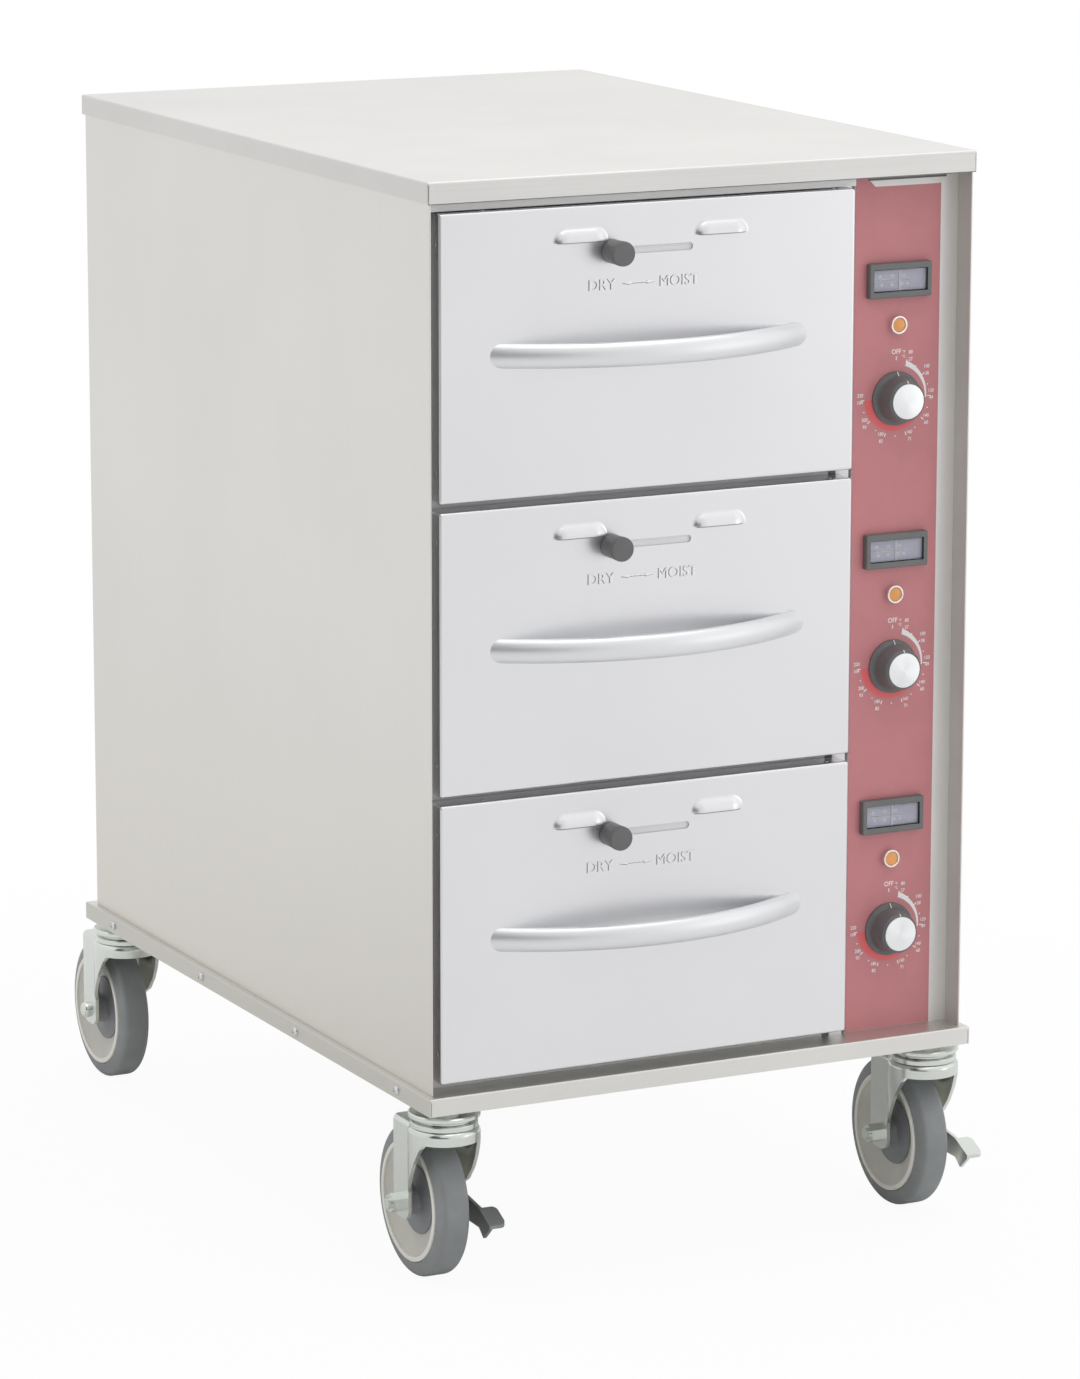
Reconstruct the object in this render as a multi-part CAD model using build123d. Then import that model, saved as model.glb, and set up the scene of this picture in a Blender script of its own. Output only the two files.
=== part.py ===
from build123d import *
import math
import os

# Mobile warming cabinet: three heated drawers, a recessed control column and four swivel casters.
# Millimetres. X runs to the right, Y to the back and Z up from the floor. While a piece is being
# made X is measured from the cabinet's middle and Y from the lid's front face; saving moves it all
# over the origin.

# Food pan: the cabinet is sized round this standard full-size pan
pan_width = 325.0
pan_length = 530.0
pan_depth = 150.0
pan_rim = 12.5
pan_rim_radius = 57.0
pan_taper = 9.0
pan_floor_radius = 16.0
pan_wall = 0.9

# Drawers
drawer_count = 3
pan_side_room = 5.8
pan_end_room = 12.0
pan_top_room = 23.0
pan_under_room = 42.0
carrier_sheet = 1.5
carrier_depth = 62.0
slide_thickness = 12.7
slide_height = 46.0
slide_sheet = 1.2
slide_gap = 0.4
slide_overlap = 60.0
slide_back_room = 40.0
drawer_travel = 500.0
front_depth = 21.0
front_radius = 2.5
front_lap = 13.0
front_gap = 7.0
front_bottom_gap = 9.0
front_top_gap = 8.5
front_side_gap = 6.5
frame_clearance = 1.8

# Drawer vent: hood louvres, slot, sliding shutter and its knob
louvre_length = 49.0
louvre_radius = 16.0
louvre_reach = 4.5
louvre_root = 4.0
louvre_drop = 30.0
louvre_offset = 66.0
slot_length = 79.0
slot_height = 6.4
slot_drop = 39.5
shutter_thickness = 1.0
shutter_edge = 4.0
guide_height = 5.0
vent_knob_diameter = 21.0
vent_knob_reach = 22.0
shank_diameter = 5.8
running_gap = 0.3

# Bow handle
handle_length = 300.0
handle_reach = 45.0
handle_height = 21.0
handle_thickness = 13.0

# Cabinet sheet metal
sheet = 1.2
panel_inset = 2.8
panel_front_inset = 1.6
panel_flange = 15.0
lid_lip = 18.0
lid_radius = 2.0
seam = 0.5
frame_sheet = 1.5
frame_return = 14.0
liner_sheet = 1.0
liner_flange = 8.0
insulation_back = 24.0
service_depth = 82.0
fit_gap = 0.2

# Base tray and the caster rails inside it
base_lip = 15.5
base_sheet = 1.5
base_radius = 1.4
base_side_overhang = 3.3
base_front_overhang = 6.5
base_back_overhang = 12.0
rail_width = 54.0
rail_sheet = 2.0

# Control column
post_reveal = 9.0
column_slot = 3.5
column_width = 102.0
column_strip = 17.5
overlay_thickness = 0.5
overlay_margin = 0.5
tab_width = 76.0
tab_drop = 11.3
tab_slope = 6.0
controls_top = 110.0
controls_bottom = 105.0
light_drop = 39.0
knob_drop = 103.0
gauge_width = 61.0
gauge_height = 30.2
gauge_reach = 6.6
gauge_wall = 2.6
gauge_body_depth = 22.0
window_width = 53.0
window_height = 19.5
window_recess = 1.0
window_thickness = 1.0
window_ledge = 0.6
pointer_length = 20.0
pointer_width = 1.2
pointer_thickness = 0.6
pointer_hub = 5.0
pointer_pin = 1.5
light_diameter = 12.0
light_reach = 4.6
light_body_depth = 20.0
light_ring_diameter = 15.8
light_ring_height = 5.0
light_ring_edge = 0.8
knob_skirt_diameter = 47.0
knob_skirt_edge = 1.5
knob_diameter = 38.6
knob_flare = 6.0
knob_taper = 1.8
knob_chamfer = 2.2
knob_reach = 21.8
cap_diameter = 30.5
cap_thickness = 0.8
shaft_diameter = 6.0
bushing_diameter = 9.6
thermostat_size = 44.0
thermostat_depth = 26.0

# Heating element
tube_diameter = 8.0
element_width = 200.0
element_bend = 40.0
element_lift = 16.0
element_front_room = 60.0
element_tail = 20.0

# Cord gland
gland_bore = 10.0
gland_thread = 20.0
gland_collar = 27.0
gland_reach = 18.0
gland_height = 60.0

# Screws
screw_diameter = 4.0
screw_head = 8.0
screw_head_height = 2.4
screw_head_edge = 1.1
screw_length = 8.0
screw_rows = 4
screw_end_room = 58.0

# Casters
wheel_diameter = 133.0
wheel_width = 32.0
wheel_shoulder = 5.0
tread_edge = 5.0
bead_step = 1.0
tyre_thickness = 13.5
rim_thickness = 3.0
dish_thickness = 11.0
dish_diameter = 62.0
hub_cover = 1.2
hub_diameter = 28.0
hub_gap = 0.8
axle_diameter = 10.0
axle_gap = 0.08
wheel_side_gap = 5.5
caster_trail = 40.0
caster_end_inset = 31.5
fork_sheet = 3.0
fork_bulge = 6.5
fork_margin = 9.0
fork_shoulder = 15.0
fork_crease = 4.0
fork_knee = 22.0
fork_apron = 12.0
fork_foot = 12.0
fork_bend = 5.0
foot_radius = 11.0
crown_sheet = 4.0
crown_gap = 6.0
ring_diameter = 58.0
ring_height = 4.5
race_diameter = 50.0
race_height = 3.0
head_diameter = 62.0
head_height = 5.0
neck_diameter = 30.0
neck_height = 4.5
pin_diameter = 12.0
pin_head_diameter = 20.0
pin_head_height = 4.0
nut_flats = 15.0
nut_height = 8.0
bolt_head_height = 6.0
bolt_head_round = 4.5
stem_nut_flats = 19.0
stem_nut_height = 9.0
pedal_sheet = 3.0
pedal_reach = 77.0
pedal_tab_length = 21.0
pedal_tab_width = 13.0
pedal_tab_corner = 5.0
pedal_web = 14.0
pedal_slope = 26.0
pedal_eye_radius = 12.0

# Widths worked out from the pan outwards
carrier_half = pan_width / 2 + pan_side_room + carrier_sheet
opening_half = carrier_half + slide_thickness
front_half = opening_half + front_lap
column_total = post_reveal + column_slot + column_width
lid_width = 2 * (front_half + panel_inset + sheet) + front_side_gap + column_total
panel_out = lid_width / 2 - panel_inset
panel_in = panel_out - sheet
drawer_x = front_half + front_side_gap - panel_in
frame_right = drawer_x + front_half + post_reveal
column_left = frame_right + column_slot
overlay_left = column_left + overlay_margin
overlay_right = panel_in - column_strip
control_x = (overlay_left + overlay_right) / 2
tab_x = (column_left + panel_in) / 2
base_half = lid_width / 2 + base_side_overhang
rail_outer = base_half - base_sheet
caster_x = rail_outer - rail_width / 2

# Depths worked out from the drawer front backwards
front_back = front_depth + sheet
frame_front = front_back + frame_clearance
frame_back = frame_front + frame_sheet
overlay_front = frame_front - overlay_thickness
carrier_length = pan_length + 2 * pan_end_room
slide_length = drawer_travel + slide_overlap
drawer_length = max(carrier_length, pan_end_room + slide_length)
cell_depth = front_back + drawer_length + slide_back_room - frame_back
liner_back = frame_back + cell_depth + liner_sheet
insulation_end = liner_back + insulation_back
panel_back = insulation_end + service_depth
lid_depth = panel_back + panel_inset
base_front = -base_front_overhang
base_back = lid_depth + base_back_overhang
caster_front_y = base_front + caster_end_inset
caster_rear_y = base_back - caster_end_inset

# Heights worked out from the floor up
axle_z = wheel_diameter / 2
crown_under = wheel_diameter + crown_gap
crown_top = crown_under + crown_sheet
ring_top = crown_top + ring_height
race_top = ring_top + race_height
head_top = race_top + head_height
base_bottom = head_top + neck_height
base_top = base_bottom + base_lip
opening_height = pan_depth + pan_top_room + pan_under_room
front_height = opening_height + 2 * front_lap
drawer_pitch = front_height + front_gap
lid_bottom = base_top + front_bottom_gap + drawer_count * drawer_pitch - front_gap + front_top_gap
lid_top = lid_bottom + lid_lip
lid_under = lid_top - sheet
controls_high = lid_top - controls_top
controls_low = base_bottom + controls_bottom + knob_drop
control_pitch = (controls_high - controls_low) / max(1, drawer_count - 1)

# Casters stand off the cabinet's sides by their axle nuts on the left and their pedals on the right
fork_half = wheel_width / 2 + wheel_side_gap + fork_sheet
hub_half = wheel_width / 2 + wheel_side_gap - hub_gap
fork_round = fork_half + fork_bulge
fork_flat = math.sqrt(fork_round**2 - fork_half**2)
fork_rear = caster_trail + fork_margin
foot_round = min(foot_radius, (fork_rear - fork_flat - fork_sheet) / 2)
axle_end = fork_half + nut_height + fork_sheet
pedal_inner = fork_half + running_gap
pedal_outer = pedal_inner + pedal_sheet

# The origin is on the floor, under the middle of everything that stands out of the cabinet
left_most = -max(caster_x + axle_end, base_half + screw_head_height)
right_most = max(caster_x + pedal_outer + pedal_tab_width, base_half + screw_head_height)
front_most = min(-handle_reach, base_front)
back_most = caster_rear_y + caster_trail + wheel_diameter / 2
mid_width = (left_most + right_most) / 2
mid_depth = (front_most + back_most) / 2

numbers = range(1, drawer_count + 1)


def block(x0, x1, y0, y1, z0, z1):
    """A box between two opposite corners."""
    return Pos((x0 + x1) / 2, (y0 + y1) / 2, (z0 + z1) / 2) * Box(x1 - x0, y1 - y0, z1 - z0)


def rod_x(radius, x0, x1, y, z):
    """A round bar along X."""
    return Pos((x0 + x1) / 2, y, z) * Rot(0, 90, 0) * Cylinder(radius, x1 - x0)


def rod_y(radius, x, y0, y1, z):
    """A round bar along Y."""
    return Pos(x, (y0 + y1) / 2, z) * Rot(90, 0, 0) * Cylinder(radius, y1 - y0)


def rod_z(radius, x, y, z0, z1):
    """A round bar along Z."""
    return Pos(x, y, (z0 + z1) / 2) * Cylinder(radius, z1 - z0)


def turned(points):
    """A turned solid about Z from an outline of (radius, height) corners."""
    outline = make_face(Polyline(*[(r, 0, z) for r, z in points], close=True))
    return revolve(outline, Axis.Z)


def turned_profile(edges):
    """A turned solid about Z from a closed outline of edges in (radius, height)."""
    return revolve(Plane.XZ * make_face(edges), Axis.Z)


def hexagon_bar(flats, height):
    """A hexagonal bar standing on the XY plane."""
    return extrude(RegularPolygon(flats / 2, 6, major_radius=False), height)


def front_base(number):
    """Height of the lower edge of a drawer front, counted from the top drawer."""
    return base_top + front_bottom_gap + (drawer_count - number) * drawer_pitch


def opening_base(number):
    """Height of the lower edge of a drawer opening."""
    return front_base(number) + front_lap


def gauge_height_at(number):
    """Height of the middle of a thermometer."""
    return controls_high - (number - 1) * control_pitch


def light_height_at(number):
    """Height of the middle of an indicator light."""
    return gauge_height_at(number) - light_drop


def knob_height_at(number):
    """Height of a thermostat knob's axis."""
    return gauge_height_at(number) - knob_drop


def spread(first, last, count):
    """Evenly spaced places from the first to the last."""
    return [first + (last - first) * i / (count - 1) for i in range(count)]


def save(name, *solids):
    """Write the solids of one node, moved over the origin."""
    placed = [Pos(-mid_width, -mid_depth, 0) * solid for solid in solids]
    export_step(placed[0] if len(placed) == 1 else Compound(children=placed), f"parts/{name}.step")


# Cabinet shell

base_screw_y = spread(screw_end_room, lid_depth - screw_end_room, screw_rows)
base_screw_z = base_bottom + base_lip / 2
back_screw_z = spread(base_top + screw_end_room, lid_bottom - screw_end_room, screw_rows)
back_screw_x = panel_in - panel_flange / 2
gland_z = base_top + gland_height
gland_x = control_x


def folded_tray(x_half, y0, y1, z0, z1, wall, radius):
    """A folded sheet tray with rounded edges and an open slit at each end corner."""
    tray = block(-x_half, x_half, y0, y1, z0, z1)
    top = tray.faces().sort_by(Axis.Z)[-1]
    tray = fillet(tray.edges().filter_by(Axis.Z) + top.edges(), radius)
    tray -= block(-x_half + wall, x_half - wall, y0 + wall, y1 - wall, z0 - wall, z1 - wall)
    for side in (-1, 1):
        slit_x = side * (x_half - wall - seam / 2)
        for end in (y0, y1):
            tray -= block(slit_x - seam / 2, slit_x + seam / 2, end - wall, end + wall, z0, z1 - 2 * wall)
    return tray


def top_cover():
    """The lid, with the tab that hangs in front of the control column's upper edge."""
    lid = folded_tray(lid_width / 2, 0, lid_depth, lid_bottom, lid_top, sheet, lid_radius)
    tab_end = lid_bottom - tab_drop
    half = tab_width / 2
    corners = [
        (-half, lid_under),
        (half, lid_under),
        (half, tab_end + tab_slope),
        (half - tab_slope, tab_end),
        (-half + tab_slope, tab_end),
        (-half, tab_end + tab_slope),
    ]
    outline = make_face(Polyline(*corners, close=True))
    tab_plane = Plane(origin=(tab_x, overlay_front, 0), x_dir=(1, 0, 0), z_dir=(0, -1, 0))
    return lid + extrude(tab_plane * outline, sheet)


def side_panel(side):
    """A side wall that stands on the base, with a return flange for the back panel."""
    wall = block(panel_in, panel_out, panel_front_inset, panel_back, base_top, lid_under)
    flange_back = panel_back - sheet
    flange = block(panel_in - panel_flange, panel_in, flange_back - sheet, flange_back, base_top, lid_under)
    panel = wall + flange
    for z in back_screw_z:
        panel -= rod_y(screw_diameter / 2 + fit_gap / 2, back_screw_x, flange_back - 2 * sheet, panel_back, z)
    return panel if side > 0 else mirror(panel, Plane.YZ)


def back_panel():
    """The back wall between the side panels, with the hole for the cord gland."""
    half = panel_in - fit_gap
    panel = block(-half, half, panel_back - sheet, panel_back, base_top, lid_under)
    for z in back_screw_z:
        for x in (-back_screw_x, back_screw_x):
            panel -= rod_y(screw_diameter / 2 + fit_gap, x, panel_back - 2 * sheet, panel_back + sheet, z)
    hole = rod_y(gland_thread / 2 + fit_gap, gland_x, panel_back - 2 * sheet, panel_back + sheet, gland_z)
    return panel - hole


def base_tray():
    """The inverted base tray that the cabinet stands on."""
    tray = folded_tray(base_half, base_front, base_back, base_bottom, base_top, base_sheet, base_radius)
    for y in base_screw_y:
        tray -= rod_x(screw_diameter / 2 + fit_gap, -base_half - 1, base_half + 1, y, base_screw_z)
    return tray


def caster_rail(side):
    """A channel inside the base tray that takes the two caster stems of one side."""
    inner = rail_outer - rail_width
    y0 = base_front + base_sheet + fit_gap
    y1 = base_back - base_sheet - fit_gap
    top = base_top - base_sheet
    floor = base_bottom + rail_sheet
    rail = block(inner, rail_outer, y0, y1, base_bottom, top)
    rail -= block(inner + rail_sheet, rail_outer - rail_sheet, y0 - 1, y1 + 1, floor, top + 1)
    hole = screw_diameter / 2 + fit_gap / 2
    for y in base_screw_y:
        rail -= rod_x(hole, rail_outer - 2 * rail_sheet, rail_outer + 1, y, base_screw_z)
    for y in (caster_front_y, caster_rear_y):
        rail -= rod_z(pin_diameter / 2 + fit_gap, caster_x, y, base_bottom - 1, base_bottom + 2 * rail_sheet)
    return rail if side > 0 else mirror(rail, Plane.YZ)


def front_frame():
    """The frame behind the drawer fronts, with a return flange along each upright edge."""
    frame = block(-panel_in, frame_right, frame_front, frame_back, base_top, lid_under)
    return_end = frame_back + frame_return
    for x0 in (-panel_in, frame_right - frame_sheet):
        frame += block(x0, x0 + frame_sheet, frame_back, return_end, base_top, lid_under)
    for number in numbers:
        z0 = opening_base(number)
        x0 = drawer_x - opening_half
        x1 = drawer_x + opening_half
        frame -= block(x0, x1, frame_front - 1, frame_back + 1, z0, z0 + opening_height)
    return frame


def element_legs(number):
    """Places where a heating element's two legs pass the back of its liner."""
    z = opening_base(number) + element_lift
    return [(drawer_x - element_width / 2, z), (drawer_x + element_width / 2, z)]


def compartment_liner(number):
    """A sheet box that lines one drawer's compartment, open at the front."""
    z0 = opening_base(number)
    z1 = z0 + opening_height
    x0 = drawer_x - opening_half
    x1 = drawer_x + opening_half
    wall = liner_sheet
    rim = liner_flange
    liner = block(x0 - wall, x1 + wall, frame_back, liner_back, z0 - wall, z1 + wall)
    liner += block(x0 - rim, x1 + rim, frame_back, frame_back + wall, z0 - rim, z1 + rim)
    liner -= block(x0, x1, frame_back - 1, liner_back - wall, z0, z1)
    half = tube_diameter / 2
    saddle_y = frame_back + cell_depth / 2
    for x, z in element_legs(number):
        liner -= rod_y(half + fit_gap, x, liner_back - 2 * wall, liner_back + wall, z)
        saddle = block(x - half, x + half, saddle_y, saddle_y + tube_diameter, z0, z)
        liner += saddle - rod_y(half + fit_gap, x, frame_back, liner_back, z)
    return liner


def insulation():
    """The blanket that fills the space round the liners."""
    y0 = frame_back + frame_return
    blanket = block(-panel_in, frame_right, y0, insulation_end, base_top, lid_under)
    for number in numbers:
        z0 = opening_base(number) - liner_sheet
        z1 = z0 + opening_height + 2 * liner_sheet
        x0 = drawer_x - opening_half - liner_sheet
        x1 = drawer_x + opening_half + liner_sheet
        blanket -= block(x0, x1, y0 - 1, liner_back, z0, z1)
        for x, z in element_legs(number):
            blanket -= rod_y(tube_diameter, x, liner_back - 1, insulation_end + 1, z)
    return blanket


def heating_element(number):
    """A bent tube over the compartment's floor, with both ends through the liner's back."""
    (x0, z), (x1, _) = element_legs(number)
    y_end = insulation_end + element_tail
    y_bend = frame_back + element_front_room
    corners = [(x0, y_end, z), (x0, y_bend, z), (x1, y_bend, z), (x1, y_end, z)]
    path = FilletPolyline(*corners, radius=element_bend)
    start = Plane(origin=path @ 0, z_dir=path % 0)
    return sweep(start * Circle(tube_diameter / 2), path)


def cord_gland():
    """The round gland in the back panel that a mains lead passes through."""
    step = gland_reach / 3
    outline = [
        (gland_bore / 2, -gland_reach),
        (gland_thread / 2, -gland_reach),
        (gland_thread / 2, 0),
        (gland_collar / 2, 0),
        (gland_collar / 2, step),
        (gland_thread / 2, gland_reach),
        (gland_bore / 2, gland_reach),
    ]
    gland = Pos(gland_x, panel_back, gland_z) * Rot(-90, 0, 0) * turned(outline)
    locknut = hexagon_bar(gland_collar, step) - rod_z(gland_thread / 2, 0, 0, -1, step + 1)
    return [gland, Pos(gland_x, panel_back - sheet, gland_z) * Rot(90, 0, 0) * locknut]


def screw():
    """A pan head screw whose head sits on the XY plane, with its shank downwards."""
    outline = [
        (0, -screw_length),
        (screw_diameter / 2, -screw_length),
        (screw_diameter / 2, 0),
        (screw_head / 2, 0),
        (screw_head / 2, screw_head_edge),
        (screw_head / 3, screw_head_height),
        (0, screw_head_height),
    ]
    return turned(outline)


def cabinet_screws():
    """Screws through the base lips into the rails, and through the back panel."""
    pan_head = screw()
    screws = []
    for side in (-1, 1):
        for y in base_screw_y:
            screws.append(Pos(side * base_half, y, base_screw_z) * Rot(0, side * 90, 0) * pan_head)
        for z in back_screw_z:
            screws.append(Pos(side * back_screw_x, panel_back, z) * Rot(-90, 0, 0) * pan_head)
    return screws


# Control column


def control_panel():
    """The steel plate of the control column, with openings for the controls."""
    panel = block(column_left, panel_in, frame_front, frame_back, base_top, lid_under)
    return_end = frame_back + frame_return
    for x0 in (column_left, panel_in - frame_sheet):
        panel += block(x0, x0 + frame_sheet, frame_back, return_end, base_top, lid_under)
    return panel - control_cutouts()


def control_cutouts():
    """Bars through the panel and overlay at every control."""
    y0 = overlay_front - 1
    y1 = frame_back + 1
    half_height = window_height / 2 + fit_gap
    x0 = control_x - window_width / 2 - fit_gap
    x1 = control_x + window_width / 2 + fit_gap
    cuts = []
    for number in numbers:
        z = gauge_height_at(number)
        cuts.append(block(x0, x1, y0, y1, z - half_height, z + half_height))
        cuts.append(rod_y(light_diameter / 2 + fit_gap, control_x, y0, y1, light_height_at(number)))
        cuts.append(rod_y(bushing_diameter / 2 + fit_gap, control_x, y0, y1, knob_height_at(number)))
    return cuts


def control_overlay():
    """The red skin on the front of the control panel."""
    z1 = lid_bottom + tab_slope
    skin = block(overlay_left, overlay_right, overlay_front, frame_front, base_top + overlay_margin, z1)
    return skin - control_cutouts()


def thermometer_levels():
    """Depths of a thermometer's front face, its window's two faces, its hollow's roof and its dial."""
    face = overlay_front - gauge_reach
    window_front = face + window_recess
    window_back = window_front + window_thickness
    roof = window_back + window_ledge
    dial = roof + pointer_thickness + 2 * running_gap
    return face, window_front, window_back, roof, dial


def thermometer_case(number):
    """A thermometer's bezel and body, hollow behind its sunk window."""
    z = gauge_height_at(number)
    x = control_x
    half_w = gauge_width / 2
    half_h = gauge_height / 2
    face, _, window_back, roof, dial = thermometer_levels()
    case = block(x - half_w, x + half_w, face, overlay_front, z - half_h, z + half_h)
    front_edges = case.faces().sort_by(Axis.Y)[0].edges()
    case = fillet(front_edges + case.edges().filter_by(Axis.Y), gauge_wall / 2)
    body_end = frame_back + gauge_body_depth
    win_w = window_width / 2
    win_h = window_height / 2
    case += block(x - win_w, x + win_w, overlay_front, body_end, z - win_h, z + win_h)
    case -= block(x - win_w, x + win_w, face - 1, window_back, z - win_h, z + win_h)
    hollow_w = half_w - gauge_wall
    hollow_h = half_h - gauge_wall / 2
    case -= block(x - hollow_w, x + hollow_w, roof, dial, z - hollow_h, z + hollow_h)
    sight_w = win_w - window_ledge
    sight_h = win_h - window_ledge
    case -= block(x - sight_w, x + sight_w, face, dial, z - sight_h, z + sight_h)
    return case - rod_y(pointer_pin / 2 + axle_gap, x, dial - 1, frame_back, pointer_pivot(number))


def thermometer_window(number):
    """The flat window on its ledge in the bezel."""
    z = gauge_height_at(number)
    _, front, back, _, _ = thermometer_levels()
    x0 = control_x - window_width / 2 + fit_gap / 2
    x1 = control_x + window_width / 2 - fit_gap / 2
    half_h = window_height / 2 - fit_gap / 2
    return block(x0, x1, front, back, z - half_h, z + half_h)


def pointer_pivot(number):
    """Height of a thermometer pointer's pivot, behind the bezel's lower edge."""
    return gauge_height_at(number) - gauge_height / 2 + gauge_wall / 2 + pointer_hub / 2 + running_gap


def thermometer_pointer(number):
    """A needle on a hub, with its pin in the case."""
    z = pointer_pivot(number)
    back = thermometer_levels()[-1] - running_gap
    front = back - pointer_thickness
    hub = rod_y(pointer_hub / 2, control_x, front, back, z)
    pin = rod_y(pointer_pin / 2, control_x, back, overlay_front, z)
    half = pointer_width / 2
    needle = block(control_x - half, control_x + half, front, back, z, z + pointer_length)
    return hub + pin + needle


def indicator_light(number):
    """A lens with its body, and the ring round it."""
    z = light_height_at(number)
    lens_face = overlay_front - light_reach
    lens = rod_y(light_diameter / 2, control_x, lens_face, frame_back + light_body_depth, z)
    lens_edge = lens.edges().filter_by(GeomType.CIRCLE).sort_by(Axis.Y)[0]
    lens = fillet(lens_edge, light_diameter / 4)
    ring = rod_y(light_ring_diameter / 2, control_x, overlay_front - light_ring_height, overlay_front, z)
    ring_edge = ring.edges().filter_by(GeomType.CIRCLE).sort_by(Axis.Y)[0]
    ring = fillet(ring_edge, light_ring_edge)
    hole_end = overlay_front - light_ring_height - 1
    hole = rod_y(light_diameter / 2 + fit_gap / 2, control_x, hole_end, overlay_front + 1, z)
    return [lens, ring - hole]


def thermostat(number):
    """A thermostat behind the panel, with the bushing that its shaft turns in."""
    z = knob_height_at(number)
    half = thermostat_size / 2
    body_end = frame_back + thermostat_depth
    body = block(control_x - half, control_x + half, frame_back, body_end, z - half, z + half)
    body += rod_y(bushing_diameter / 2, control_x, overlay_front, frame_back, z)
    return body - rod_y(shaft_diameter / 2 + axle_gap, control_x, overlay_front - 1, body_end - sheet, z)


def thermostat_knob(number):
    """A skirted knob, its turned metal cap and the shaft it drives."""
    place = Pos(control_x, overlay_front - running_gap, knob_height_at(number)) * Rot(90, 0, 0)
    top = knob_reach - running_gap
    seat = top - cap_thickness
    skirt = knob_skirt_diameter / 2
    body = knob_diameter / 2
    cap_edge = cap_diameter / 2
    flare_middle = (0.3 * skirt + 0.7 * body, 0.7 * knob_skirt_edge + 0.3 * knob_flare)
    outline = [
        Polyline((0, seat), (0, 0), (skirt, 0), (skirt, knob_skirt_edge)),
        ThreePointArc((skirt, knob_skirt_edge), flare_middle, (body, knob_flare)),
        Polyline((body, knob_flare), (body - knob_taper, top - knob_chamfer), (cap_edge, top)),
        Polyline((cap_edge, top), (cap_edge, seat), (0, seat)),
    ]
    bore_depth = seat / 2
    knob = turned_profile(outline) - rod_z(shaft_diameter / 2, 0, 0, -1, bore_depth)
    cap = Pos(0, 0, seat + cap_thickness / 2) * Cylinder(cap_diameter / 2, cap_thickness)
    shaft_end = frame_back + thermostat_depth / 2 - overlay_front
    shaft = rod_z(shaft_diameter / 2, 0, 0, -shaft_end, bore_depth)
    return [place * solid for solid in (knob, cap, shaft)]


# Drawers


def capsule(radius, half_length):
    """A round bar along X with ball ends, centred on the origin."""
    ends = [Pos(side * half_length, 0, 0) * Sphere(radius) for side in (-1, 1)]
    return rod_x(radius, -half_length, half_length, 0, 0) + ends


def slot_bar(length, height, depth):
    """A bar along Y with a rounded slot section, centred on the origin."""
    return Rot(90, 0, 0) * Pos(0, 0, -depth / 2) * extrude(SlotOverall(length, height), depth)


def louvre_places(number):
    """Middle of the open lower edge of each hood louvre."""
    z = front_base(number) + front_height - louvre_drop
    return [(drawer_x - louvre_offset, z), (drawer_x + louvre_offset, z)]


def louvre_rise():
    """Height of a hood louvre where it meets the drawer front."""
    return math.sqrt(louvre_radius**2 - (louvre_radius - louvre_reach) ** 2)


def louvre_half():
    """Half of the straight part of a hood louvre."""
    return louvre_length / 2 - louvre_rise()


def louvre_hood(x, z):
    """A pressed hood on a tile of the drawer front, with a soft root, cut off straight below."""
    half = louvre_length / 2
    rise = louvre_rise()
    sides = (x - half - louvre_root, x + half + louvre_root)
    levels = (z - rise - louvre_root, z + rise + louvre_root)
    bump = Pos(x, louvre_radius - louvre_reach, z) * capsule(louvre_radius, louvre_half())
    bump &= block(*sides, -louvre_reach - 1, sheet / 2, *levels)
    hood = block(*sides, 0, sheet, *levels) + bump
    margin = louvre_root / 2
    root = hood.edges().filter_by_position(Axis.Y, -fit_gap, fit_gap)
    root = root.filter_by_position(Axis.X, x - half - margin, x + half + margin)
    root = root.filter_by_position(Axis.Z, z - rise - margin, z + rise + margin)
    return fillet(root, louvre_root) - block(*sides, -louvre_reach - 1, 0, levels[0], z)


def shutter_levels(number):
    """Lower and upper edges of a vent shutter."""
    top = front_base(number) + front_height
    low = top - slot_drop - slot_height / 2 - shutter_edge
    high = top - louvre_drop + louvre_rise() + shutter_edge
    return low, high


def slot_travel():
    """How far the vent knob moves along its slot."""
    return slot_length - shank_diameter - 2 * running_gap


def drawer_front(number):
    """A folded drawer front with punched hood louvres, a slot and shutter guides."""
    z0 = front_base(number)
    z1 = z0 + front_height
    x0 = drawer_x - front_half
    x1 = drawer_x + front_half
    skin = block(x0, x1, 0, front_depth, z0, z1)
    face_edges = skin.faces().sort_by(Axis.Y)[0].edges()
    skin = fillet(face_edges + skin.edges().filter_by(Axis.Y), front_radius)
    skin -= block(x0 + sheet, x1 - sheet, sheet, front_depth + 1, z0 + sheet, z1 - sheet)
    for x, z in louvre_places(number):
        middle = Pos(x, louvre_radius - louvre_reach, z)
        ends = (x - louvre_length, x + louvre_length)
        skin += louvre_hood(x, z)
        void_space = block(*ends, -louvre_reach - 1, sheet + 1, z, z + louvre_radius)
        skin -= middle * capsule(louvre_radius - sheet, louvre_half()) & void_space
    slot_z = z1 - slot_drop
    skin -= Pos(drawer_x, sheet / 2, slot_z) * slot_bar(slot_length, slot_height, 3 * sheet)
    low, high = shutter_levels(number)
    back = sheet + shutter_thickness + 2 * running_gap
    guide_half = front_half - sheet
    for edge, outward in ((low, -1), (high, 1)):
        seat = edge + outward * running_gap
        levels = sorted((seat, seat + outward * guide_height))
        lip_levels = sorted((edge - outward * shutter_edge / 2, seat + outward * guide_height))
        skin += block(drawer_x - guide_half, drawer_x + guide_half, sheet, back, *levels)
        skin += block(drawer_x - guide_half, drawer_x + guide_half, back, back + sheet, *lip_levels)
    return skin


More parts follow.
